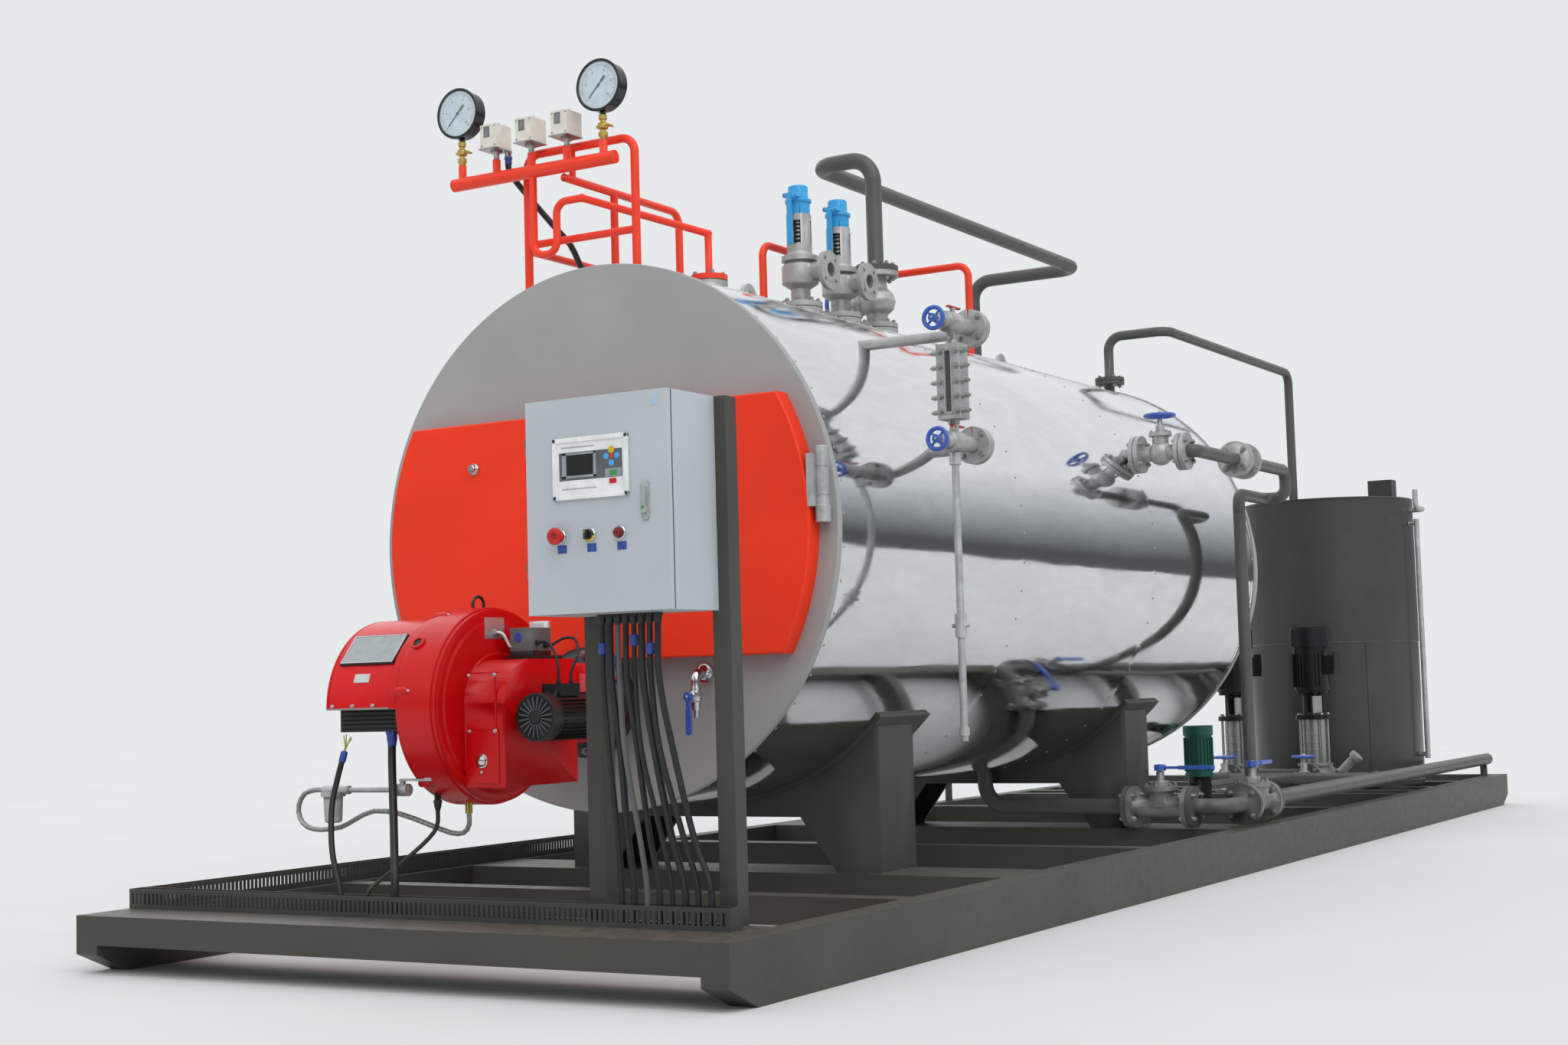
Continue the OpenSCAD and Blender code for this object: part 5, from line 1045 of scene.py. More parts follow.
def rivet_shape(tree, given):
    """A flattened dome."""
    ball = node(tree, "GeometryNodeMeshUVSphere", {"Segments": 12, "Rings": 6, "Radius": given["Radius"]}).outputs["Mesh"]
    return node(tree, "GeometryNodeTransform", {"Geometry": ball, "Scale": (1.0, 1.0, 0.42)}).outputs[0]


def bar_shape(tree, given):
    size = node(tree, "ShaderNodeCombineXYZ", {0: given["Width"], 1: given["Thickness"], 2: given["Length"]}).outputs[0]
    return node(tree, "GeometryNodeMeshCube", {"Size": size}).outputs["Mesh"]


SHAPES = {"bolt": bolt_shape, "rivet": rivet_shape, "bar": bar_shape}


def part_tree(kind, look):
    """Parts of one kind on the points of a mesh: Z along way, Y towards face, scaled by size."""
    tree = bpy.data.node_groups.new(kind + "_on_points", "GeometryNodeTree")
    tree.interface.new_socket("Geometry", in_out="INPUT", socket_type="NodeSocketGeometry")
    for name, value in PART_INPUTS[kind]:
        tree.interface.new_socket(name, in_out="INPUT", socket_type="NodeSocketFloat").default_value = value
    tree.interface.new_socket("Geometry", in_out="OUTPUT", socket_type="NodeSocketGeometry")
    given = node(tree, "NodeGroupInput").outputs
    way, face, size = (
        node(tree, "GeometryNodeInputNamedAttribute", {"Name": name}, data_type="FLOAT_VECTOR").outputs["Attribute"]
        for name in ("way", "face", "size")
    )
    first = node(tree, "FunctionNodeAlignRotationToVector", {"Vector": way}, axis="Z").outputs[0]
    turn = node(tree, "FunctionNodeAlignRotationToVector", {"Rotation": first, "Vector": face}, axis="Y", pivot_axis="Z").outputs[0]
    points = node(tree, "GeometryNodeMeshToPoints", {"Mesh": given["Geometry"]}).outputs[0]
    shape = SHAPES[kind](tree, given)
    copies = node(tree, "GeometryNodeInstanceOnPoints", {"Points": points, "Instance": shape, "Rotation": turn, "Scale": size})
    real = node(tree, "GeometryNodeRealizeInstances", {"Geometry": copies.outputs[0]})
    done = node(tree, "GeometryNodeSetMaterial", {"Geometry": real.outputs[0], "Material": look})
    node(tree, "NodeGroupOutput", {0: done.outputs[0]})
    return tree


def copies(name, kind, look, places, ways, faces=None, sizes=None, body=BASE, **inputs):
    """Parts of one kind at places in millimetres from the front end, kept as one plain piece."""
    mesh = bpy.data.meshes.new(name + "_points")
    mesh.from_pydata([at(*p) for p in places], [], [])
    faces = faces or [(0, 0, 1)] * len(places)
    sizes = sizes or [(1, 1, 1)] * len(places)
    for key, values in (("way", ways), ("face", faces), ("size", sizes)):
        mesh.attributes.new(key, "FLOAT_VECTOR", "POINT").data.foreach_set("vector", [c for v in values for c in v])
    seed = bpy.data.objects.new(name + "_points", mesh)
    bpy.context.scene.collection.objects.link(seed)
    modifier = seed.modifiers.new("grow", "NODES")
    modifier.node_group = part_tree(kind, finish(look))
    for item in modifier.node_group.interface.items_tree:
        if item.in_out == "INPUT" and item.name in inputs:
            modifier[item.identifier] = inputs[item.name]
    result = bpy.data.meshes.new_from_object(seed.evaluated_get(bpy.context.evaluated_depsgraph_get()))
    seed.modifiers.clear()
    bpy.data.objects.remove(seed)
    bm = bmesh.new()
    bm.from_mesh(result)
    bpy.data.meshes.remove(result)
    return piece(name, bm, look, body)


def both(c, way, inner, outer, radius, count, scale):
    """The two outward faces of a flange pair whose middle is c."""
    way = Vector(way)
    return [(Vector(c) + way * outer, way, radius, count, scale), (Vector(c) - way * inner, -way, radius, count, scale)]


def flanges():
    """Every bolted face: centre, outward direction, bolt circle, bolt count and bolt scale."""
    x, y, z = (1, 0, 0), (0, 1, 0), (0, 0, 1)
    faces = []
    for place in (*SAFETY_Y, STOP_Y):
        faces += both((0, place, SAFETY_Z), z, 21, 18, 60, 8, 0.8)
    faces += both((0, STOP_Y, SAFETY_Z + 212), z, 20, 20, 62.5, 8, 0.85)
    faces += both((0, 1660, 2060), z, 31, 8, 46, 4, 0.75)
    for level in LEVEL_Z:
        faces += both((950, 1615, level), y, 17.5, 17.5, 43, 4, 0.7)
    for c in (FEED_X - 88, FEED_X + 88):
        faces += both((c, FEED_Y, FEED_Z), x, 17.5, 17.5, 52, 4, 0.8)
    faces += both((CHECK_X, CHECK_Y, FEED_Z), y, 58, 58, 52, 4, 0.8)
    faces += both((125, 4745, 2044), z, 15.5, 15.5, 48, 4, 0.7)
    for pump in PUMP_X:
        for s in (-1, 1):
            faces += both((pump, PUMP_Y + s * 110, PORT_Z), y, 16, 16, 45, 4, 0.7)
    for s in (-1, 1):
        faces += both((QUICK[0] + s * 118, QUICK[1], BLOW_Z), x, 20, 20, 60, 4, 0.85)
        faces += both((SLOW[0], SLOW[1] + s * 122, BLOW_Z), y, 20, 20, 60, 4, 0.85)
    faces.append(((FEED_X, FEED_Y, FEED_Z + 76), Vector(z), 34, 6, 0.5))
    for valve in (QUICK, SLOW):
        faces.append(((*valve, BLOW_Z + 78), Vector(z), 54, 6, 0.65))
    faces.append(((-98, STOP_Y, SAFETY_Z + 106), Vector((-1, 0, 0)), 48, 6, 0.6))
    faces.append(((0, SHELL_BACK + 320, AXIS_Z), Vector(y), 664, 20, 1.0))
    faces.append(((0, 932, BURNER_Z), Vector((0, -1, 0)), 141, 6, 0.8))
    for pump in PUMP_X:
        for sx in (-78, 78):
            for sy in (-60, 60):
                faces.append(((pump + sx, PUMP_Y + sy, DECK + 14), Vector(z), 0, 1, 0.7))
    return faces


def gaskets():
    """The gasket in every flange pair: centre, direction, radius and half its thickness."""
    x, y, z = (1, 0, 0), (0, 1, 0), (0, 0, 1)
    rings = [((0, place, SAFETY_Z - 1.5), z, 73.5, 1.45) for place in (*SAFETY_Y, STOP_Y)]
    rings += [((0, STOP_Y, SAFETY_Z + 211.25), z, 81.5, 0.7), ((0, 1660, 2048.5), z, 58.5, 1.45), ((125, 4745, 2044), z, 62.5, 1.45)]
    rings += [((950, 1615, level), y, 54.5, 1.45) for level in LEVEL_Z]
    rings += [((c, FEED_Y, FEED_Z), x, 68.5, 1.45) for c in (FEED_X - 88, FEED_X + 88)]
    for s in (-1, 1):
        rings += [((pump, PUMP_Y + s * 110.3, PORT_Z), y, 59.5, 1.5) for pump in PUMP_X]
        rings += [((QUICK[0] + s * 118.3, QUICK[1], BLOW_Z), x, 78.0, 1.5), ((SLOW[0], SLOW[1] + s * 122.3, BLOW_Z), y, 78.0, 1.5)]
    return rings


class BoilerBolts(Operator):
    """Bolts, nuts and gaskets of every flange, and the studs of the check valve."""

    bl_idname = "boiler.bolts"
    bl_label = "Flange bolts"

    def execute(self, context):
        places, ways, sizes = [], [], []
        for centre, way, radius, count, scale in flanges():
            turn = axes_along(way)
            for k in range(count):
                a = 2 * math.pi * (k + 0.5) / count
                places.append(Vector(centre) + turn @ Vector((radius * math.cos(a), radius * math.sin(a), 0)))
                ways.append(way)
                sizes.append((scale, scale, scale))
        bm = bmesh.new()
        for centre, way, radius, half in gaskets():
            turned(bm, [(radius - 14, -half), (radius, -half), (radius, half), (radius - 14, half)], centre, way, 56)
        piece("flange_gaskets", bm, "gasket")
        copies("flange_bolts", "bolt", "zinc", places, ways, sizes=sizes, **{"Across flats": context.scene.boiler_sizes.bolt})
        bm = bmesh.new()
        for k in range(4):
            a = math.pi * (k + 0.5) / 2
            place = (CHECK_X + 52 * math.cos(a), CHECK_Y - 62, FEED_Z + 52 * math.sin(a))
            turned(bm, [(0, 0), (5, 0), (5, 124), (0, 124)], place, (0, 1, 0), 12)
        piece("check_valve_studs", bm, "zinc")
        return {"FINISHED"}


# Gauges, switches and level gauge


GAUGE_Z = 2616.0


def figures(name, look, items, body=BASE):
    """Small raised figures: text, place, height in millimetres, reading direction and upward direction."""
    whole = bmesh.new()
    for text, place, height, along, up in items:
        font = bpy.data.curves.new(name, "FONT")
        font.body = text
        font.size = height * 0.001
        font.align_x = "CENTER"
        font.align_y = "CENTER"
        font.extrude = 0.0001
        font.resolution_u = 3
        holder = bpy.data.objects.new(name, font)
        bpy.context.scene.collection.objects.link(holder)
        graph = bpy.context.evaluated_depsgraph_get()
        mesh = bpy.data.meshes.new_from_object(holder.evaluated_get(graph))
        bpy.data.objects.remove(holder)
        bpy.data.curves.remove(font)
        a, u = Vector(along), Vector(up)
        n = a.cross(u)
        c = at(*place)
        mesh.transform(Matrix([[a[i], u[i], n[i], c[i]] for i in range(3)] + [[0, 0, 0, 1]]))
        whole.from_mesh(mesh)
        bpy.data.meshes.remove(mesh)
    return piece(name, whole, look, body)


class BoilerGauges(Operator):
    """Dial gauges, the windows of the pressure switches, and the level gauge's glass."""

    bl_idname = "boiler.gauges"
    bl_label = "Gauges"

    def execute(self, context):
        marks = context.scene.boiler_sizes.dial_marks
        case, dial, hand, glass = (bmesh.new() for _ in range(4))
        places, ways, sizes, numbers = [], [], [], []
        for x, reading in ((STUB_X[0], 0.0), (STUB_X[4], 0.0)):
            front = (0, -1, 0)
            back = [(0, 0), (77, 0), (80, 3), (80, 41), (82, 42), (83, 43.5), (83, 48.5), (81.5, 50), (76, 50), (74, 48), (74, 44.6), (0, 44.6)]
            turned(case, back, (x, HEADER_Y + 25, GAUGE_Z), front, 96)
            turned(case, [(0, 0), (10, 0), (10, 22), (0, 22)], (x, HEADER_Y, GAUGE_Z - 80), (0, 0, -1), 6)
            turned(dial, [(0, 0), (73.6, 0), (73.6, 0.7), (0, 0.7)], (x, HEADER_Y - 19.7, GAUGE_Z), front, 96)
            turned(glass, [(0, 0), (74.4, 0), (74.4, 1.2), (0, 1.2)], (x, HEADER_Y - 22.4, GAUGE_Z), front, 96)
            for k in range(marks):
                a = math.radians(-135 + 270 * k / (marks - 1))
                long = k % 5 == 0
                r = 66 - (4.5 if long else 2.5)
                places.append((x + r * math.sin(a), HEADER_Y - 20.5, GAUGE_Z + r * math.cos(a)))
                ways.append((math.sin(a), 0, math.cos(a)))
                sizes.append((1.7 if k % 10 == 0 else 1.0, 1, 1.8 if long else 1.0))
                if k % 10 == 0:
                    place = (x + 47 * math.sin(a), HEADER_Y - 20.6, GAUGE_Z + 47 * math.cos(a))
                    numbers.append((str(k * 16 // (marks - 1) if k else 0), place, 12, (1, 0, 0), (0, 0, 1)))
            a = math.radians(-135 + 270 * reading)
            way = Vector((math.sin(a), 0, math.cos(a)))
            centre = Vector((x, HEADER_Y - 21.4, GAUGE_Z))
            plate(hand, centre + way * 17, front, way, 4.4, 70, 0.5, 0.1)
            plate(hand, centre - way * 24, front, way, 9.0, 22, 0.5, 0.1)
            turned(hand, [(0, 0), (6, 0), (5, 1.0), (0, 1.0)], centre, front, 24)
        stands_for(piece("gauge_cases", case, "gloss_black"), "pressure_gauges")
        piece("gauge_dials", dial, "dial")
        piece("gauge_needles", hand, "ink")
        piece("gauge_glasses", glass, "glass")
        down = [(0, -1, 0)] * len(places)
        copies("gauge_marks", "bar", "ink", places, ways, down, sizes, Width=0.0012, Thickness=0.0003, Length=0.005)
        figures("gauge_figures", "ink", numbers)

        window, scale, hands, screws = (bmesh.new() for _ in range(4))
        places, ways = [], []
        for x in STUB_X[1:4]:
            low = STUB_TOP + 65.9
            block(window, (x - 17.6, HEADER_Y - 41.6, low + 0.4), (x + 5.6, HEADER_Y - 40.2, low + 35.6), 0.2)
            block(scale, (x - 17.8, HEADER_Y - 38.6, low + 0.2), (x + 5.8, HEADER_Y - 38.1, low + 35.8), 0)
            block(hands, (x - 16, HEADER_Y - 39.2, low + 13), (x + 4, HEADER_Y - 38.6, low + 14.6), 0)
            for k in range(9):
                places.append((x - 12 if k % 2 else x - 11, HEADER_Y - 38.9, low + 4 + k * 3.4))
                ways.append((1, 0, 0))
            turned(screws, [(0, 0), (6.5, 0), (6.5, 5), (5.6, 6), (0, 6)], (x + 18, HEADER_Y - 14, STUB_TOP + 108), (0, 0, 1), 20)
            for sx, sz in ((-26, 40), (26, 40), (-26, 101), (26, 101)):
                turned(screws, [(0, 0), (3, 0), (2.4, 1.6), (0, 1.6)], (x + sx, HEADER_Y - 42, STUB_TOP + sz), (0, -1, 0), 12)
        piece("switch_windows", window, "glass")
        piece("switch_scales", scale, "screen")
        piece("switch_pointers", hands, "signal_red")
        piece("switch_screws", screws, "steel")
        copies("switch_marks", "bar", "grey", places, ways, [(0, -1, 0)] * len(places), Width=0.0008, Thickness=0.0003, Length=0.007)

        pane, frame_bm, ribs, rib_ways = bmesh.new(), bmesh.new(), [], []
        block(pane, (941.3, 1455, 1520.4), (958.7, 1460.8, 1697.6), 0.5)
        for side in (-1, 1):
            block(frame_bm, (950 + side * 9 - (5 if side < 0 else 0), 1447.6, 1512), (950 + side * 9 + (5 if side > 0 else 0), 1450.2, 1706), 1)
        for z in (1512, 1701):
            block(frame_bm, (937, 1447.6, z), (963, 1450.2, z + 5), 1)
        for k in range(5):
            ribs.append((944.6 + k * 2.7, 1454.7, 1609))
            rib_ways.append((0, 0, 1))
        piece("level_glass", pane, "screen")
        piece("level_glass_rim", frame_bm, "valve")
        copies("level_glass_ribs", "bar", "glass", ribs, rib_ways, [(1, 1, 0)] * 5, Width=0.0014, Thickness=0.0014, Length=0.174)
        places, ways = [], []
        for side in (-26, 26):
            for k in range(5):
                places.append((950 + side, 1450, 1609 - 88 + 44 * k))
                ways.append((0, -1, 0))
        for k in range(5):
            for x, s in ((987, 1), (913, -1)):
                places.append((x, 1466, 1609 - 88 + 44 * k))
                ways.append((s, 0, 0))
        copies("level_gauge_bolts", "bolt", "zinc", places, ways, sizes=[(0.72, 0.72, 0.8)] * 10 + [(0.72, 0.72, 1.5)] * 10)
        return {"FINISHED"}


# Cabinet


class BoilerPanelDetails(Operator):
    """Operator panel, buttons, lamp, latch and bare label plates on the cabinet door."""

    bl_idname = "boiler.cabinet"
    bl_label = "Cabinet details"

    def execute(self, context):
        face = CAB_FRONT - 23.0
        bm = bmesh.new()
        block(bm, (572, face - 4.5, 1198), (795, face - 0.1, 1349), 1.5)
        for low, high in (((572, 1198), (795, 1210)), ((572, 1337), (795, 1349)), ((572, 1198), (584, 1349)), ((783, 1198), (795, 1349))):
            block(bm, (low[0], face - 8.5, low[1]), (high[0], face - 0.1, high[1]), 2.2)
        stands_for(piece("panel_bezel", bm, "white", DOOR), "control_panel")
        bm = bmesh.new()
        block(bm, (591, face - 5.1, 1245), (777, face - 4.3, 1313), 0.2)
        piece("panel_field", bm, "slate", DOOR)
        bm = bmesh.new()
        for low, high in (((600, 1250), (701, 1256)), ((600, 1306), (701, 1311)), ((600, 1250), (613, 1311)), ((693, 1250), (701, 1311))):
            block(bm, (low[0], face - 6.6, low[1]), (high[0], face - 4.4, high[1]), 0.6)
        block(bm, (727, face - 5.6, 1246), (775, face - 5.0, 1266), 0.2)
        piece("panel_screen_frame", bm, "grey", DOOR)
        bm = bmesh.new()
        block(bm, (612, face - 5.6, 1255), (694, face - 4.4, 1307), 0)
        piece("panel_screen", bm, "screen", DOOR)
        for look, spots in (
            ("signal_yellow", [(746, 1311, 9)]),
            ("sky_key", [(731, 1296, 7.5), (762, 1296, 7.5), (746, 1279, 7.5)]),
            ("orange", [(746, 1296, 5)]),
        ):
            bm = bmesh.new()
            for x, z, r in spots:
                turned(bm, [(0, 0), (r, 0), (r, 1.2), (r - 1.2, 2.0), (0, 2.0)], (x, face - 4.9, z), (0, -1, 0), 24)
            piece("panel_keys_" + look, bm, look, DOOR)
        for look, x, z in (("signal_green", 751, 1256), ("signal_red", 749, 1236)):
            bm = bmesh.new()
            block(bm, (x - 10, face - 6.8, z - 6), (x + 10, face - 4.4, z + 6), 1.4)
            piece("panel_key_" + look, bm, look, DOOR)
        places = [(600 + 5.5 * k, face - 5.1, 1325) for k in range(18)] + [(600 + 6.5 * k, face - 5.1, 1224) for k in range(16)]
        copies("panel_legend_marks", "bar", "grey", places, [(1, 0, 0)] * len(places), [(0, -1, 0)] * len(places), body=DOOR, Width=0.003, Thickness=0.0003, Length=0.0036)
        bm = bmesh.new()
        for x in (579, 788):
            for z in (1205, 1342):
                turned(bm, [(0, 0), (3.6, 0), (3.0, 1.4), (0, 1.4)], (x, face - 8.2, z), (0, -1, 0), 14)
        piece("panel_screws", bm, "dark_steel", DOOR)

        z = CAB_Z + 188
        bm = bmesh.new()
        for x in (588, 676, 764):
            turned(bm, [(0, 0), (17, 0), (17, 4), (15, 6), (0, 6)], (x, face - 0.1, z), (0, -1, 0), 48)
        piece("button_collars", bm, "chrome", DOOR)
        bm = bmesh.new()
        head = [(0, 6), (11, 6), (11, 18), (20, 20), (21, 22), (21, 27), (19.5, 30), (15, 31.6), (9, 31.2), (8, 30.4), (0, 30.4)]
        turned(bm, head, (588, face, z), (0, -1, 0), 56)
        piece("stop_button", bm, "signal_red", DOOR)
        bm = bmesh.new()
        turned(bm, [(6.4, 30.3), (6.4, 31), (4.2, 31), (4.2, 30.3)], (588, face, z), (0, -1, 0), 32)
        turned(bm, [(0, 6), (11.5, 6), (11.5, 13), (0, 13)], (676, face, z), (0, -1, 0), 32)
        block(bm, (672, face - 25, z - 12), (680, face - 13, z + 12), 1.5)
        piece("selector_knob", bm, "black", DOOR)
        bm = bmesh.new()
        sector(bm, (676, face, z), (0, -1, 0), (0, 0, 1), (11.6, 16.4), (100, 260), (6, 8.4), 20)
        block(bm, (675, face - 25.4, z + 3), (677, face - 24.8, z + 11), 0)
        piece("selector_mark", bm, "signal_yellow", DOOR)
        bm = bmesh.new()
        turned(bm, [(0, 6), (13, 6), (13, 12), (11.5, 15.4), (7, 17.4), (0, 18)], (764, face, z), (0, -1, 0), 40)
        piece("warning_lamp", bm, "lamp", DOOR)
        bm = bmesh.new()
        for x in (588, 676, 764):
            plate(bm, (x + 4, face + 0.1, z - 31), (0, -1, 0), (0, 0, 1), 27, 20, 1.0, 0.3)
        piece("button_plates", bm, "signal_blue", DOOR)
        bm = bmesh.new()
        block(bm, (828, face - 5, 1146), (850, face - 0.1, 1224), 2)
        turned(bm, [(0, 0), (11, 0), (11, 3.4), (9.5, 5), (0, 5)], (839, face - 0.1, 1146), (0, -1, 0), 32)
        block(bm, (832, face - 14, 1152), (846, face - 3, 1218), 3)
        block(bm, (830, face - 9, 1212), (848, face - 3, 1228), 2)
        piece("door_latch", bm, "pale_metal", DOOR)
        bm = bmesh.new()
        turned(bm, [(0, 0), (4.4, 0), (4, 1.4), (0, 1.4)], (839, face - 13.6, 1166), (0, -1, 0), 20)
        piece("latch_key_cap", bm, "signal_green", DOOR)
        bm = bmesh.new()
        plate(bm, (871, face + 0.1, 1421), (0, -1, 0), (0, 0, 1), 19, 26, 0.8, 0.2)
        piece("bare_door_plate", bm, "pale_blue", DOOR)
        bm = bmesh.new()
        for x in (CAB_X + 1.5, CAB_X + 416.5):
            swept(bm, [at(x, CAB_FRONT - 2.4, CAB_Z + 6 + 511 * k / 2) for k in range(3)], 1.6, 8)
        for z in (CAB_Z + 1.5, CAB_Z + 521.5):
            swept(bm, [at(CAB_X + 5 + 408 * k / 2, CAB_FRONT - 2.4, z) for k in range(3)], 1.6, 8)
        piece("door_seal", bm, "gasket")
        return {"FINISHED"}


# Burner


class BoilerBurner(Operator):
    """Scroll and hood skins with their ridges, window, louvre, plates, screws and controls."""

    bl_idname = "boiler.burner"
    bl_label = "Burner details"

    def execute(self, context):
        y, z = BURNER_Y, BURNER_Z
        right = (1, 0, 0)
        bm = bmesh.new()
        scroll = [(0, -0.3), (262, -0.3), (264.4, 2), (264.4, 14), (265.6, 15.6), (269.5, 16), (269.5, 121), (268, 122.4), (264.4, 122.8), (264.4, 133)]
        scroll += [(262.6, 137.5), (258, 140.3), (240, 140.5), (236, 138.8), (230, 138.6), (226, 140.6), (150, 140.6), (147, 139.4), (143, 139.4), (140, 140.6), (0, 140.6)]
        turned(bm, scroll, (-140, y, z), right, 176)
        piece("scroll_skin", bm, "red", degrees=40)
        bm = bmesh.new()
        hood = [(230, 6), (244, 6), (246.4, 9), (246.4, 222), (247.6, 226), (253, 226.4), (254.4, 228), (254.4, 250), (253, 252), (248, 254), (230, 254)]
        turned(bm, hood, (-402.2, y, z), right, 72, (0, 0, 1), (-34.4, 90.0))
        stands_for(piece("hood_skin", bm, "red", degrees=40), "burner_hood")
        # A black ring in the gap between hood and scroll: painted shadow.
        bm = bmesh.new()
        turned(bm, [(226, 252), (238, 252), (238, 262), (226, 262)], (-402.2, y, z), right, 72, (0, 0, 1), (-34.4, 90.0))
        piece("hood_gap_painted_shadow", bm, "black")
        bm = bmesh.new()
        block(bm, (-402.2, y - 247.2, z - 1), (-140.2, y - 244, z + 4), 0.8)
        piece("hood_edge_strip", bm, "steel")
        bm = bmesh.new()
        turned(bm, [(0, 0), (246.4, 0), (246.4, 6), (0, 6)], (-402.2, y, z), right, 72, (0, 0, 1), (-34.4, 90.0))
        piece("hood_end", bm, "red", degrees=40)

        a = math.radians(41)
        n, u = Vector((0, -math.cos(a), math.sin(a))), Vector((0, math.sin(a), math.cos(a)))
        middle = Vector((-280, y, z)) + n * 240
        bm = bmesh.new()
        plate(bm, middle, n, u, 190, 104, 9.5, 1.5)
        piece("window_frame", bm, "black")
        bm = bmesh.new()
        for s in (-1, 1):
            plate(bm, middle + Vector((s * 91, 0, 0)), n, u, 3, 98, 11, 0.9)
            plate(bm, middle + u * s * 48, n, u, 184, 3, 11, 0.9)
        piece("window_rim", bm, "chrome")
        bm = bmesh.new()
        plate(bm, middle, n, u, 178, 92, 10.2, 0.3)
        piece("window_pane", bm, "window")

        places = [(-271, y - 188, z - 56 + 11.5 * k) for k in range(5)]
        copies("hood_louvre", "bar", "black", places, [(1, 0, 0)] * 5, [(0, -0.7, -0.7)] * 5, Width=0.013, Thickness=0.0015, Length=0.256)
        places, ways = [], []
        for k in range(4):
            places.append((-380 + 72 * k, y - 246, z + 10))
            ways.append((0, -1, 0))
        for k in range(6):
            b = math.radians(20 + 60 * k)
            places.append((-96, y - 268 * math.sin(b), z + 268 * math.cos(b)))
            ways.append((1, 0, 0))
        places += [(20, y - 153, z + 83), (20, y - 153, z - 66), (108, y - 153, z + 83), (108, y - 153, z - 66)]
        ways += [(0, -1, 0)] * 4
        places.append((-84, y + 6, z + 262))
        ways.append((0, 0, 1))
        copies("burner_screws", "bolt", "chrome", places, ways, sizes=[(0.4, 0.4, 0.4)] * len(places))

        bm = bmesh.new()
        a = math.radians(40)
        boss = Vector((0, -math.cos(a), math.sin(a)))
        turned(bm, [(13, 0), (20, 0), (20, 8), (18, 10), (13, 10)], Vector((-105, y, z)) + boss * 266, boss, 32)
        for low, high in (((16, 87), (120, 91)), ((16, -71), (120, -67)), ((104, -60), (110, 84))):
            block(bm, (low[0], y - 151.5, z + low[1]), (high[0], y - 147, z + high[1]), 1.6)
        piece("burner_mouldings", bm, "red")
        # A black disc in the port boss: painted shade for the depth of the sight hole.
        bm = bmesh.new()
        turned(bm, [(0, 0), (13, 0), (13, 7), (0, 7)], Vector((-105, y, z)) + boss * 266, boss, 24)
        piece("port_hole_painted_shade", bm, "black")
        bm = bmesh.new()
        plate(bm, (0.4, y - 14, z + 212), right, (0, 0, 1), 84, 58, 1.2, 0.2)
        tilt = math.radians(20)
        out, over = Vector((0, -math.cos(tilt), math.sin(tilt))), Vector((0, math.sin(tilt), math.cos(tilt)))
        plate(bm, Vector((-285, y, z)) + out * 245.4, out, over, 54, 25, 1.6, 0.2)
        piece("bare_burner_plates", bm, "plate")
        bm = bmesh.new()
        turned(bm, [(0, 0), (19, 0), (19, 2), (16, 3), (15, 7), (10, 10.5), (0, 12)], (62, y - 153, z - 145), (0, -1, 0), 40)
        turned(bm, [(0, 0), (5, 0), (4, 3.5), (0, 4)], (62, y - 153, z - 174), (0, -1, 0), 16)
        piece("burner_latch", bm, "chrome")

        motor = (215, y - 118, z - 33)
        # The fan cover's vanes are black; their slate grey is painted highlight.
        places, ways, faces, sizes = [], [], [], []
        for k in range(20):
            b = math.radians(18 * k + 9)
            places.append((motor[0] + 37 * math.cos(b), motor[1] - 0.4, motor[2] + 37 * math.sin(b)))
            ways.append((math.cos(b), 0, math.sin(b)))
        copies("fan_cover_vanes_painted_highlight", "bar", "slate", places, ways, [(0, -1, 0)] * 20, Width=0.003, Thickness=0.0016, Length=0.036)
        places, ways, faces = [], [], []
        for k in range(32):
            b = math.radians(360 / 32 * k)
            if abs(b - math.pi) < 0.75 or abs(b - math.pi / 2) < 0.6:
                continue
            places.append((motor[0] + 60.5 * math.cos(b), motor[1] + 128, motor[2] + 60.5 * math.sin(b)))
            ways.append((0, 1, 0))
            faces.append((-math.sin(b), 0, math.cos(b)))
        copies("burner_motor_fins", "bar", "motor", places, ways, faces, Width=0.006, Thickness=0.0018, Length=0.15)
        bm = bmesh.new()
        turned(bm, [(61, -0.5), (64.4, 0), (64.6, 4), (64.4, 30), (64.1, 30), (61, 30)], motor, (0, 1, 0), 64)
        turned(bm, [(0, -2.2), (15, -2.2), (17, -0.4), (0, -0.4)], motor, (0, 1, 0), 32)
        piece("fan_cover_rim", bm, "black")

        bm = bmesh.new()
        block(bm, (33, y + 11, 851), (111, y + 97, 916), 3)
        piece("control_cover", bm, "glass")
        bm = bmesh.new()
        turned(bm, [(0, 0), (15, 0), (13, 3), (0, 3)], (62, y + 12.5, 890), (0, -1, 0), 28)
        piece("control_dial", bm, "signal_blue")
        bm = bmesh.new()
        for k in range(4):
            block(bm, (35, y + 98.6, 842 + 23 * k), (83, y + 126, 861 + 23 * k), 1.2)
        pipe = [(0, y - 8, 905), (14, y - 8, 905), (24, y - 2, 897), (27, y + 8, 880), (30, y + 14, 868), (40, y + 16, 865)]
        swept(bm, curve_through([at(*p) for p in pipe], 5), 4, 12)
        piece("terminal_blocks", bm, "white")
        bm = bmesh.new()
        turned(bm, [(0, 0), (9, 0), (9, 8), (0, 8)], (0, y - 8, 905), right, 6)
        piece("air_line_nut", bm, "chrome")
        return {"FINISHED"}


# Pumps and welds


def weld(bm, points, radius=3.0):
    """An uneven weld bead along a line of points in millimetres."""
    spread = random.Random(len(points) + int(points[0][0]))
    line = []
    for a, b in zip(points, points[1:]):
        a, b = Vector(a), Vector(b)
        count = max(2, int((b - a).length / 9))
        for k in range(count):
            jog = Vector([spread.uniform(-0.6, 0.6) for _ in range(3)])
            line.append(at(*(a + (b - a) * k / count + jog)))
    line.append(at(*points[-1]))
    swept(bm, line, radius, 7)


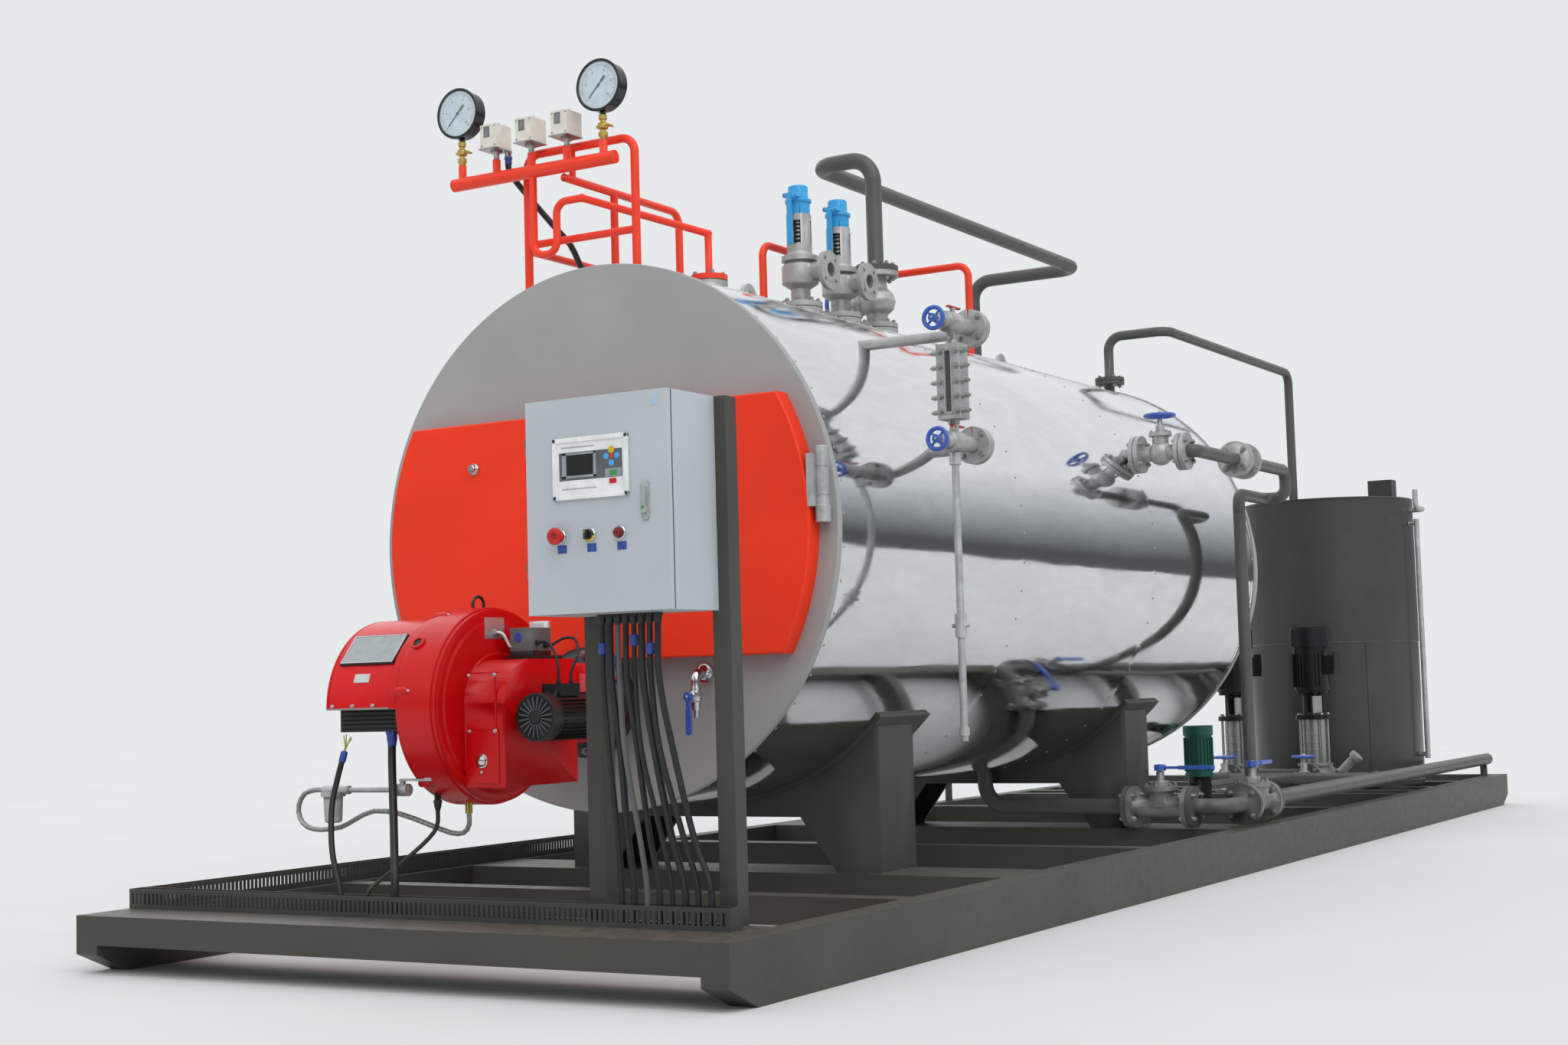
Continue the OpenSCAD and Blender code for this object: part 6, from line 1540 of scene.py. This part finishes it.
class BoilerPumps(Operator):
    """Bands, caps, cooling ribs and covers of the pumps."""

    bl_idname = "boiler.pumps"
    bl_label = "Pump details"

    def execute(self, context):
        sleeves, caps, lids, nuts, guards = (bmesh.new() for _ in range(5))
        places, ways, faces = [], [], []
        for x in PUMP_X:
            for k in range(6):
                turned(sleeves, [(54, 0), (55.4, 0.8), (55.4, 5), (54, 6)], (x, PUMP_Y, DECK + 92 + 36 * k), sides=64)
            for a in range(45, 360, 90):
                c, s = 72 * math.cos(math.radians(a)), 72 * math.sin(math.radians(a))
                turned(nuts, [(0, 0), (11, 0), (11, 9), (0, 9)], (x + c, PUMP_Y + s, 529.6), sides=6)
            top = DECK + 790
            turned(caps, [(95, -94), (96, -92), (96, -8), (90, -0.2), (70, 0), (69, -1.4), (0, -1.4)], (x, PUMP_Y, top), sides=96)
            for k in range(7):
                r = 12 + 8 * k
                turned(caps, [(r, -1.6), (r, 0), (r + 3, 0), (r + 3, -1.6)], (x, PUMP_Y, top), sides=48)
            block(lids, (x + 120, PUMP_Y - 47, 744), (x + 127.5, PUMP_Y + 47, 828), 2)
            for turn in (-75, 105):
                sector(guards, (x, PUMP_Y, 536), (0, 0, 1), (1, 0, 0), (48, 49.2), (turn, turn + 62), (0, 84), 12)
            for k in range(30):
                b = math.radians(12 * k)
                if math.cos(b) > 0.8:
                    continue
                places.append((x + 85.5 * math.cos(b), PUMP_Y + 85.5 * math.sin(b), 744))
                ways.append((0, 0, 1))
                faces.append((-math.sin(b), math.cos(b), 0))
        piece("pump_sleeve_bands", sleeves, "steel")
        piece("pump_rod_nuts", nuts, "chrome")
        piece("pump_coupling_guards", guards, "steel")
        piece("pump_fan_covers", caps, "motor")
        piece("pump_box_lids", lids, "motor")
        copies("pump_motor_ribs", "bar", "motor", places, ways, faces, Width=0.008, Thickness=0.002, Length=0.16)
        places, ways, faces = [], [], []
        for k in range(24):
            b = math.radians(15 * k)
            places.append((300 + 62.5 * math.cos(b), 5195 + 62.5 * math.sin(b), DECK + 219))
            ways.append((0, 0, 1))
            faces.append((-math.sin(b), math.cos(b), 0))
        copies("transfer_motor_ribs", "bar", "teal", places, ways, faces, Width=0.007, Thickness=0.002, Length=0.15)
        return {"FINISHED"}


class BoilerWelds(Operator):
    """Weld beads of the skid, the posts and the saddles."""

    bl_idname = "boiler.welds"
    bl_label = "Welds"

    def execute(self, context):
        bm = bmesh.new()
        for x in (500, 885):
            ring = [(x, 250, DECK), (x + 50, 250, DECK), (x + 50, 300, DECK), (x, 300, DECK), (x, 250, DECK)]
            weld(bm, ring)
        for y in (1645, 3640):
            for s in (-1, 1):
                for far in (0, 230):
                    weld(bm, [(s * 575, y + far, DECK), (s * 420, y + far, DECK)])
                weld(bm, [(s * 575, y, DECK), (s * 575, y + 230, DECK)])
        for y, width in ((0, 150), (980, 80), (4900, 80), (5923, 80), (6203, 80), (7750, 80)):
            for s in (-1, 1):
                for far in (0, width):
                    if 0 < y + far < SKID_L:
                        weld(bm, [(s * 986, y + far, DECK - 0.5), (s * 986, y + far, DECK - 78)])
        piece("skid_welds", bm, "skid")
        bm = bmesh.new()
        for x in (-448, -30):
            turned(bm, [(13, 0), (18, 1), (17, 5), (13.6, 8)], (x, 1294.5, shell_top(x) + 0.5), sides=24)
        turned(bm, [(10, 0), (17, 1), (15, 5), (10.4, 8)], (-388, 1700, shell_top(388)), (-0.481, 0, 0.877), 24)
        piece("frame_foot_welds", bm, "tubes")
        return {"FINISHED"}


class BoilerPanel(Panel):
    bl_idname = "VIEW3D_PT_boiler"
    bl_label = "Steam boiler"
    bl_space_type = "VIEW_3D"
    bl_region_type = "UI"
    bl_category = "Boiler"

    def draw(self, context):
        for group in (context.scene.boiler_sizes, context.scene.boiler_colours):
            for key in group.__annotations__:
                self.layout.prop(group, key)
        for step in STEPS:
            self.layout.operator(step.bl_idname)


STEPS = (
    BoilerStage,
    BoilerCables,
    BoilerFinishes,
    BoilerCladding,
    BoilerHeads,
    BoilerTank,
    BoilerBurner,
    BoilerPanelDetails,
    BoilerGauges,
    BoilerPumps,
    BoilerWelds,
    BoilerBolts,
)
CLASSES = (BoilerColours, BoilerSizes, *STEPS, BoilerPanel)


def register():
    for cls in CLASSES:
        bpy.utils.register_class(cls)
    bpy.types.Scene.boiler_colours = PointerProperty(type=BoilerColours)
    bpy.types.Scene.boiler_sizes = PointerProperty(type=BoilerSizes)


def unregister():
    del bpy.types.Scene.boiler_sizes
    del bpy.types.Scene.boiler_colours
    for cls in reversed(CLASSES):
        bpy.utils.unregister_class(cls)


def main():
    register()
    for step in STEPS:
        group, name = step.bl_idname.split(".")
        getattr(getattr(bpy.ops, group), name)()


if __name__ == "__main__":
    main()
